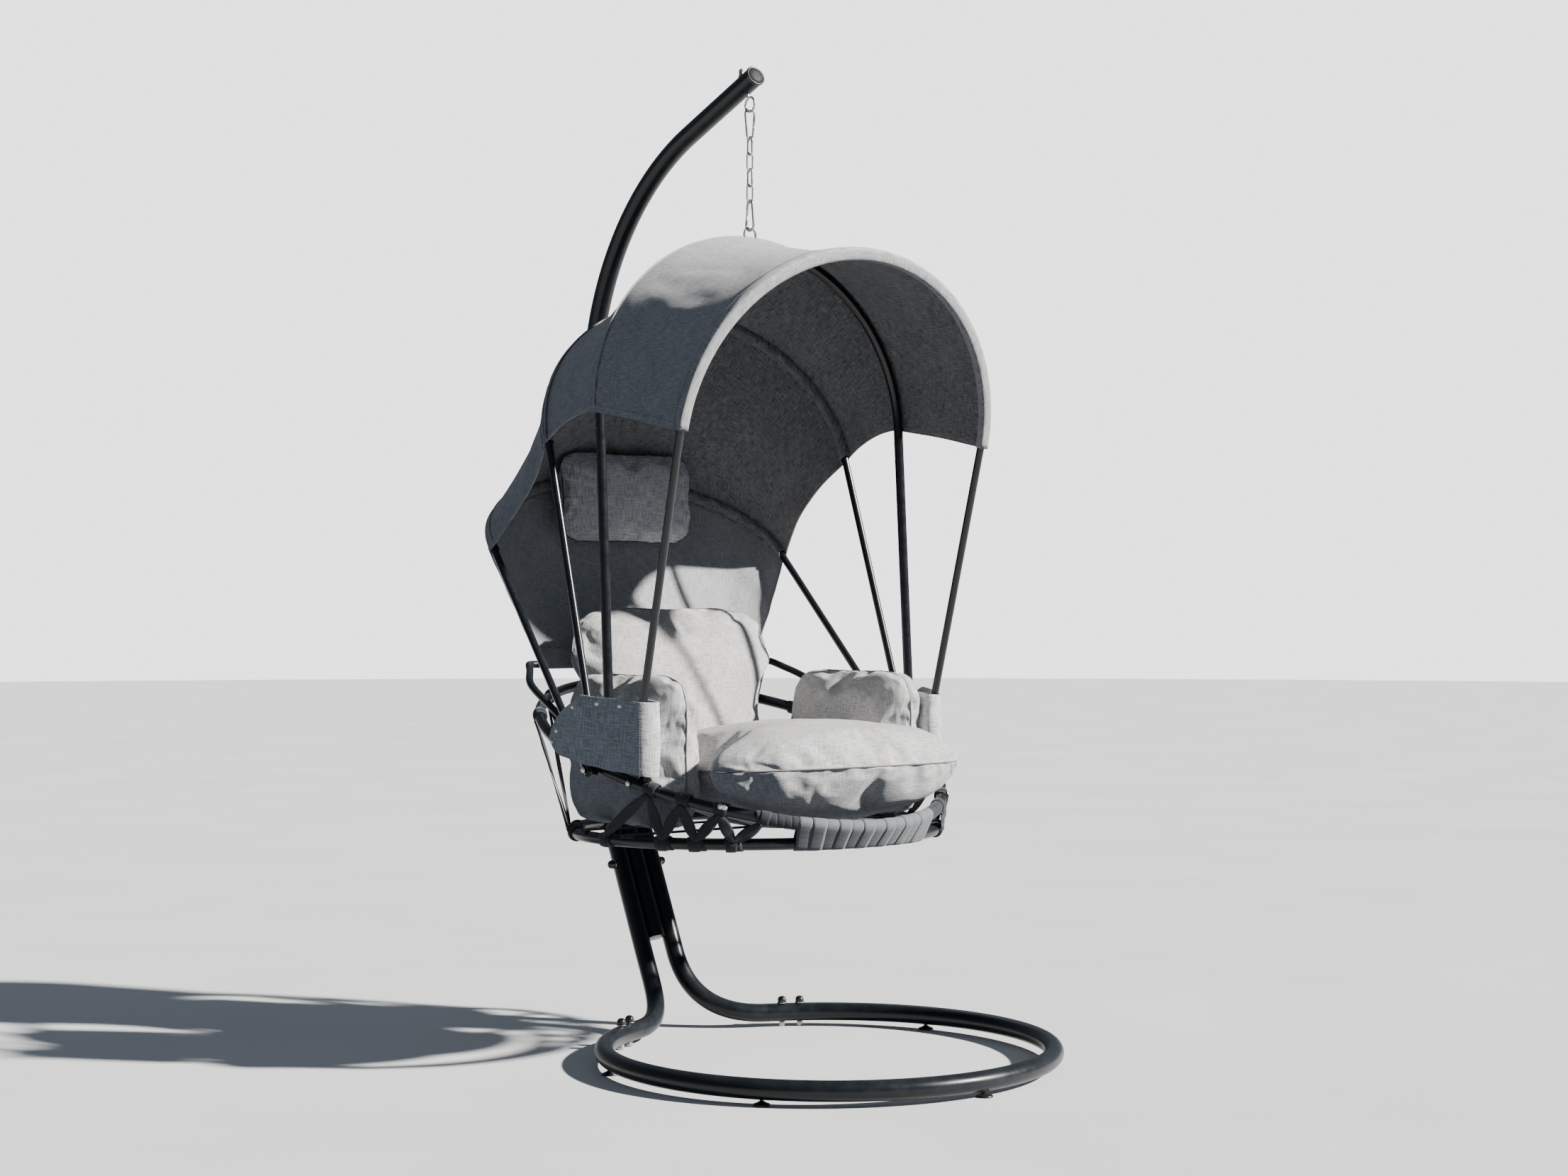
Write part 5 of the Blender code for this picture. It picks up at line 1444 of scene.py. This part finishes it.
def panel_heights(back):
    """The heights of a panel's lower and upper edge at a place along it."""
    share = min(max((back - panel_front_back) / (panel_rear_back - panel_front_back), 0.0), 1.0)
    bottom = blend_value(*panel_bottoms, share)
    front, peak, rear = panel_tops
    if share < panel_peak_share:
        return bottom, blend_value(front, peak, share / panel_peak_share)
    return bottom, blend_value(peak, rear, (share - panel_peak_share) / (1 - panel_peak_share))


def smooth_plan(hand):
    """The panel's plan with its corners rounded, at even steps: points and outward directions."""
    plan = [Vector((side, back, 0)) for side, back in panel_plan]
    points = [plan[0]]
    for before, corner, after, reach in zip(plan, plan[1:], plan[2:], panel_corner_reaches):
        limit = min(reach, (corner - before).length * 0.45, (after - corner).length * 0.45)
        points += soft_corner(before, corner, after, limit, 6)
    points.append(plan[-1])
    evened = [points[0]]
    for first, second in zip(points, points[1:]):
        run = second - first
        count = max(1, round(run.length / panel_step))
        evened += [first + run * i / count for i in range(1, count + 1)]
    facings = []
    for before, after in zip(evened[:1] + evened, evened[1:] + evened[-1:]):
        run = (after - before).normalized()
        facings.append(Vector((run.y, -run.x, 0)))
    if facings[0].x < 0:
        facings = [-facing for facing in facings]
    return (
        [Vector((hand * point.x, point.y, 0)) for point in evened],
        [Vector((hand * facing.x, facing.y, 0)) for facing in facings],
    )


def panel_surface(plan, facings, hand):
    """Rows of points over a panel, from its lower to its upper edge, rounded at its two ends."""
    rows = [[] for _ in range(panel_rows + 1)]
    runs = run_lengths(plan)
    for point, facing, run in zip(plan, facings, runs):
        bottom, top = panel_heights(point.y)
        reach = min(run, runs[-1] - run)
        if reach < panel_corner:
            trim = panel_corner - sqrt(max(panel_corner**2 - (panel_corner - reach) ** 2, 0.0))
            bottom, top = bottom + trim * panel_corner_cut, top - trim * panel_corner_cut
        top += 0.0022 * ripple(run * 22, 2.0 * hand, 0.4)
        bottom += 0.0024 * ripple(run * 24, 5.0 * hand, 1.4)
        for j, row in enumerate(rows):
            share = j / panel_rows
            bulge = panel_bulge * sin(pi * share) * (0.6 + ripple(run * 14, share * 2.2, 7.0 * hand))
            place = to_world((point.x, point.y, blend_value(bottom, top, share)))
            row.append(place + facing * (bulge - 0.0005))
    return rows


def panel_stitch_lines(rows, plan, facings):
    """A line of stitches inside the panel's edge, and two across it beside the front hoop."""
    last = len(plan) - panel_stitch_inset - 1
    levels = range(panel_stitch_inset, panel_rows - panel_stitch_inset + 1)
    columns = range(panel_stitch_inset, last + 1)
    lines = [[(rows[j][i], facings[i]) for i in columns] for j in (levels[0], levels[-1])]
    lines += [[(rows[j][i], facings[i]) for j in levels] for i in (panel_stitch_inset, last)]
    front = min(i for i, point in enumerate(plan) if point.y < panel_front_back + 0.012)
    return lines + [[(row[i], facings[i]) for row in rows] for i in (front - 4, front - 1)]


def panel_snaps(rows, plan, facings, hand):
    """Snap heads on the panel's outer face, each on the point of it nearest its place in the plan."""
    head = ((0, 0.0026), (0.0030, 0.0024), (0.0046, 0.0014), (0.0052, 0.0), (0, 0.0))
    outer = [Vector((hand * side, back, 0)) for side, back in panel_plan[:panel_outer_count]]
    outer_points = plan[:ceil(len(plan) * 0.6)]
    snaps = []
    for along_share, height_share in snap_shares:
        position = along_share * (len(outer) - 1)
        index = min(int(position), len(outer) - 2)
        place = outer[index].lerp(outer[index + 1], position - index)
        i = min(range(len(outer_points)), key=lambda k: (outer_points[k] - place).length)
        j = min(max(round(height_share * panel_rows), 2), panel_rows - 2)
        snaps.append((head, rows[j][i] + facings[i] * 0.0014, facings[i]))
    return snaps


def build_arm_panels():
    panels = []
    for hand, side in both_sides:
        plan, facings = smooth_plan(hand)
        rows = panel_surface(plan, facings, hand)
        name = f"arm_panel_cloth_{side}"
        mesh = sheet_mesh(name, [dict(rows=rows)])
        if mesh.polygons[0].normal.x * hand < 0:
            mesh.flip_normals()
        panel = add_piece(name, mesh, panel_cloth, "chair", [f"arm_panel_{side}"])
        thicken(panel, panel_thickness)
        round_edge = panel.modifiers.new("edge", "BEVEL")
        round_edge.width = 0.0009
        round_edge.segments = 2
        round_edge.limit_method = "ANGLE"
        panels.append(panel)
        stitches(f"arm_panel_stitches_{side}", panel_stitch_lines(rows, plan, facings), "chair", lift=0.0017)
        turned_piece(f"arm_panel_snaps_{side}", panel_snaps(rows, plan, facings, hand), snap_finish, "chair",
                     steps=24, ease=0.0004)
    return panels


# Cushions
arm_cushion = dict(
    half=(0.0585, 0.197, 0.1663), plan_power=4.5, edge_power=3.2, seam_axis=0, pinch=0.04, tilt=0.0,
    shrink=0.004, cap=0.014,
)
cushion_specs = {
    "seat": dict(
        node="seat_cushion", centre=(0.0, -0.130, 0.600), half=(0.372, 0.300, 0.092), plan_power=2.4,
        edge_power=2.3, seam_axis=2, pinch=0.0, tilt=radians(-3.0), shrink=0.006, cap=0.014,
    ),
    "back": dict(
        node="back_cushion", centre=(0.0, 0.252, 0.7087), half=(0.290, 0.062, 0.2458), plan_power=4.0,
        edge_power=2.4, seam_axis=1, pinch=0.05, tilt=radians(-12.0), shrink=0.006, cap=0.014,
    ),
    "arm_right": dict(node="arm_cushion_right", centre=(-0.302, 0.0070, 0.6395), **arm_cushion),
    "arm_left": dict(node="arm_cushion_left", centre=(0.302, 0.0070, 0.6395), **arm_cushion),
    "pillow": dict(
        node="headrest_pillow", centre=(0.0, 0.4577, 1.185), half=(0.183, 0.034, 0.108), plan_power=6.0,
        edge_power=2.2, seam_axis=1, pinch=0.04, tilt=radians(-2.0), shrink=0.003, cap=0.007,
    ),
}
cloth_settings = dict(
    quality=6, mass=0.25, tension_stiffness=12, compression_stiffness=12, shear_stiffness=4,
    bending_stiffness=0.15, shrink_min=-0.045, use_pressure=True,
)
cloth_frames = 22
seam_depth = 0.003
seam_cord_radius = 0.0015
seam_cord_rise = 0.0006
dent_waves, fine_dent_waves, fine_dent_share, dent_start = 9, 24, 0.45, 0.02
pucker_waves, pucker_waves_deep, pucker_start, pucker_reach = 9, 6, 0.006, 0.030


def seat_reshape(point):
    """Drawn in between the arm cushions, with a belly that rests on the straps."""
    half_width, half_depth, _ = cushion_specs["seat"]["half"]
    narrow = smooth_share(point.y - 0.130, -0.300, -0.200)
    squeeze = blend_value(1.0, 0.240 / half_width, narrow)
    plan = min(1.0, hypot(point.x / half_width, point.y / half_depth))
    belly = 1 + 0.312 * (1 - plan * plan) if point.z < 0 else 1
    return Vector((point.x * squeeze, point.y, point.z * belly))


def back_reshape(point):
    """Narrow at its foot, which stands between the arm cushions."""
    wide = smooth_share(point.z, -0.020, 0.150)
    squeeze = blend_value(0.236 / cushion_specs["back"]["half"][0], 1.0, wide)
    return Vector((point.x * squeeze, point.y, point.z))


def other_axes(axis):
    return [other for other in range(3) if other != axis]


def power_length(u, v, power):
    return (abs(u) ** power + abs(v) ** power) ** (1 / power)


def cushion_mesh(spec, half, cuts, reshape):
    """A rounded block from a cube, with UVs in metres; also gives its seam's points in order."""
    work = bmesh.new()
    bmesh.ops.create_cube(work, size=2)
    bmesh.ops.subdivide_edges(work, edges=work.edges[:], cuts=cuts, use_grid_fill=True)
    layer = work.loops.layers.uv.new("UVMap")
    for face in work.faces:
        centre = face.calc_center_median()
        flat = max(range(3), key=lambda axis: abs(centre[axis]))
        first, second = other_axes(flat)
        for loop in face.loops:
            co = loop.vert.co
            loop[layer].uv = (co[first] * half[first] + flat, co[second] * half[second])
    seam_axis, power, edge_power = spec["seam_axis"], spec["plan_power"], spec["edge_power"]
    first, second = other_axes(seam_axis)
    seam = []
    for vert in work.verts:
        u, v, w = vert.co[first], vert.co[second], vert.co[seam_axis]
        plan = power_length(u, v, power)
        scale = (plan ** edge_power + abs(w) ** edge_power) ** (-1 / edge_power)
        u, v, w = u * scale, v * scale, w * scale
        edge = min(1.0, power_length(u, v, power))
        thinness = 1 - min(abs(u), abs(v)) / max(abs(u), abs(v), tiny)
        drawn = 1 - spec["pinch"] * thinness * edge ** 6
        place = Vector()
        place[first] = u * half[first] * drawn
        place[second] = v * half[second] * drawn
        place[seam_axis] = w * half[seam_axis]
        if abs(w) < tiny:
            seam.append((atan2(v, u), vert.index))
            place -= place.normalized() * seam_depth
        vert.co = reshape(place) if reshape else place
    bmesh.ops.recalc_face_normals(work, faces=work.faces)
    return mesh_from(spec["node"], work), [index for _, index in sorted(seam)]


def swell(piece, seam, pressure, cap):
    """Blow a cushion up as sewn cloth whose seam is held, and keep each point within the cap."""
    held = piece.vertex_groups.new(name="seam")
    held.add(seam, 1.0, "REPLACE")
    cloth = piece.modifiers.new("cloth", "CLOTH")
    for key, value in cloth_settings.items():
        setattr(cloth.settings, key, value)
    cloth.settings.vertex_group_mass = "seam"
    cloth.settings.uniform_pressure_force = pressure
    cloth.settings.effector_weights.gravity = 0
    cloth.collision_settings.use_collision = False
    cloth.point_cache.frame_start = 1
    cloth.point_cache.frame_end = cloth_frames
    scene = bpy.context.scene
    for number in range(1, cloth_frames + 1):
        scene.frame_set(number)
    graph = bpy.context.evaluated_depsgraph_get()
    swollen = bpy.data.meshes.new_from_object(piece.evaluated_get(graph))
    moved = [vert.co.copy() for vert in swollen.vertices]
    bpy.data.meshes.remove(swollen)
    piece.modifiers.clear()
    for vert, last in zip(piece.data.vertices, moved):
        step = last - vert.co
        if step.length > cap:
            step *= cap / step.length
        vert.co = vert.co + step
    scene.frame_set(1)


def relax(mesh):
    """Take the sharpest buckles out of a swollen cushion."""
    work = bmesh.new()
    work.from_mesh(mesh)
    bmesh.ops.smooth_vert(
        work, verts=work.verts, factor=0.35, use_axis_x=True, use_axis_y=True, use_axis_z=True
    )
    work.to_mesh(mesh)
    work.free()


def crumple(mesh, spec, half, seed, dents, puckers):
    """Press shallow dents into a cushion, and puckers along both sides of its seam."""
    seam_axis = spec["seam_axis"]
    first, second = other_axes(seam_axis)
    normals = [vert.normal.copy() for vert in mesh.vertices]
    for vert, normal in zip(mesh.vertices, normals):
        co = vert.co
        low = dents * ripple(co.x * dent_waves + seed, co.y * dent_waves, co.z * dent_waves)
        waves = fine_dent_waves
        low += dents * fine_dent_share * ripple(co.x * waves, co.y * waves + seed, co.z * waves)
        distance = abs(co[seam_axis])
        bearing = atan2(co[second] / half[second], co[first] / half[first])
        pinched = puckers * ripple(bearing * pucker_waves, seed * 0.7, distance * pucker_waves_deep) * 1.6
        pinched *= exp(-distance / pucker_reach) * (1 - exp(-distance / pucker_start))
        vert.co = co + normal * (low * (1 - exp(-distance / dent_start)) + pinched)


def build_cushion(key, finish, seam_finish, cuts, pressure, fill, dents, puckers):
    spec = cushion_specs[key]
    name = spec["node"] + "_cover"
    half = tuple(size - spec["shrink"] for size in spec["half"])
    reshape = {"seat": seat_reshape, "back": back_reshape}.get(key)
    mesh, seam = cushion_mesh(spec, half, cuts, reshape)
    piece = new_object(name, mesh)
    swell(piece, seam, pressure, spec["cap"])
    relax(mesh)
    seam_places = [mesh.vertices[index].co.copy() for index in seam]
    crumple(mesh, spec, half, len(name), dents, puckers)
    matrix = Matrix.Translation(to_world(spec["centre"])) @ Matrix.Rotation(spec["tilt"], 4, "X")
    mesh.transform(matrix)
    smooth = piece.modifiers.new("smooth", "SUBSURF")
    smooth.levels = smooth.render_levels = 1
    dress(applied(piece), finish, "chair", [spec["node"]])
    path = [matrix @ place for place in seam_places]
    middle = sum(path, Vector()) / len(path)
    path = [place + (place - middle).normalized() * seam_cord_rise for place in path]
    tube(spec["node"] + "_seam", path, seam_cord_radius, seam_finish, "chair", closed=True, sides=3)


def build_cushions():
    light = (cushion_cloth, seam_cloth)
    arm = dict(cuts=33, pressure=3.6, fill=0.65, dents=0.0040, puckers=0.0050)
    build_cushion("seat", *light, cuts=47, pressure=3.0, fill=0.75, dents=0.0035, puckers=0.0060)
    build_cushion("back", *light, cuts=43, pressure=2.6, fill=0.7, dents=0.0040, puckers=0.0050)
    build_cushion("arm_right", *light, **arm)
    build_cushion("arm_left", *light, **arm)
    build_cushion("pillow", pillow_cloth, dark_seam_cloth, cuts=33, pressure=2.2, fill=0.65, dents=0.0025,
                  puckers=0.0040)


# Floor, light and camera
floor_radius = 30.0
sun_strength = 14.0
sun_towards = (1.85, -2.15, 1.72)
sun_colour = (1.0, 0.975, 0.94)
rim_light_strength = 6
rim_light_towards = (2.4, 3.0, 2.2)
rim_light_colour = (0.93, 0.96, 1.0)
sky_colour = (0.70, 0.82, 1.0)
sky_glow = 0.20
seen_sky_glow = 2.6
camera_place = (-3.2484, base_centre_y - 3.8495, 0.9204)
camera_facing = (0.6309, 0.7759, 0.0106)
camera_lens = 56.25
camera_sensor = 36.0


def add_lamp(name, kind, towards, energy, colour, **settings):
    data = bpy.data.lights.new(name, kind)
    data.energy = energy
    data.color = colour
    for key, value in settings.items():
        setattr(data, key, value)
    lamp = new_object(name, data)
    direction = Vector(towards)
    lamp.location = to_world((0, 0, 0.9)) + direction
    lamp.rotation_euler = direction.to_track_quat("Z", "Y").to_euler()


def build_sky():
    """A faint blue sky that lights the scene, seen by the camera as a pale ground."""
    world = bpy.data.worlds.new("studio")
    world.use_nodes = True
    tree = world.node_tree
    shade = tree.nodes["Background"]
    shade.inputs[0].default_value = (*sky_colour, 1.0)
    shade.inputs[1].default_value = sky_glow
    pale = tree.nodes.new("ShaderNodeBackground")
    pale.inputs[0].default_value = (1.0, 1.0, 1.0, 1.0)
    pale.inputs[1].default_value = seen_sky_glow
    seen = tree.nodes.new("ShaderNodeLightPath")
    mixed = tree.nodes.new("ShaderNodeMixShader")
    links = (
        (seen.outputs["Is Camera Ray"], mixed.inputs[0]), (shade.outputs[0], mixed.inputs[1]),
        (pale.outputs[0], mixed.inputs[2]), (mixed.outputs[0], tree.nodes["World Output"].inputs[0]),
    )
    for output, socket in links:
        tree.links.new(output, socket)
    bpy.context.scene.world = world


def build_studio():
    work = bmesh.new()
    bmesh.ops.create_circle(work, cap_ends=True, segments=96, radius=floor_radius)
    mesh = mesh_from("floor", work)
    mesh.materials.append(cloud_floor("floor"))
    ground = new_object("floor", mesh)
    # The sun leaves the floor so bright that its glow would fill every shadow
    ground.visible_diffuse = False
    build_sky()
    add_lamp("key", "SUN", sun_towards, sun_strength, sun_colour, angle=radians(2.2))
    add_lamp("rim_light", "AREA", rim_light_towards, rim_light_strength, rim_light_colour, size=1.6)
    data = bpy.data.cameras.new("view")
    data.lens = camera_lens
    data.sensor_width = camera_sensor
    camera = new_object("view", data)
    camera.location = camera_place
    camera.rotation_euler = Vector(camera_facing).to_track_quat("-Z", "Y").to_euler()
    bpy.context.scene.camera = camera


build_stand()
build_hanging_gear()
build_frame()
build_webbing()
canopy = build_canopy()
arm_panels = build_arm_panels()
build_cushions()
build_studio()
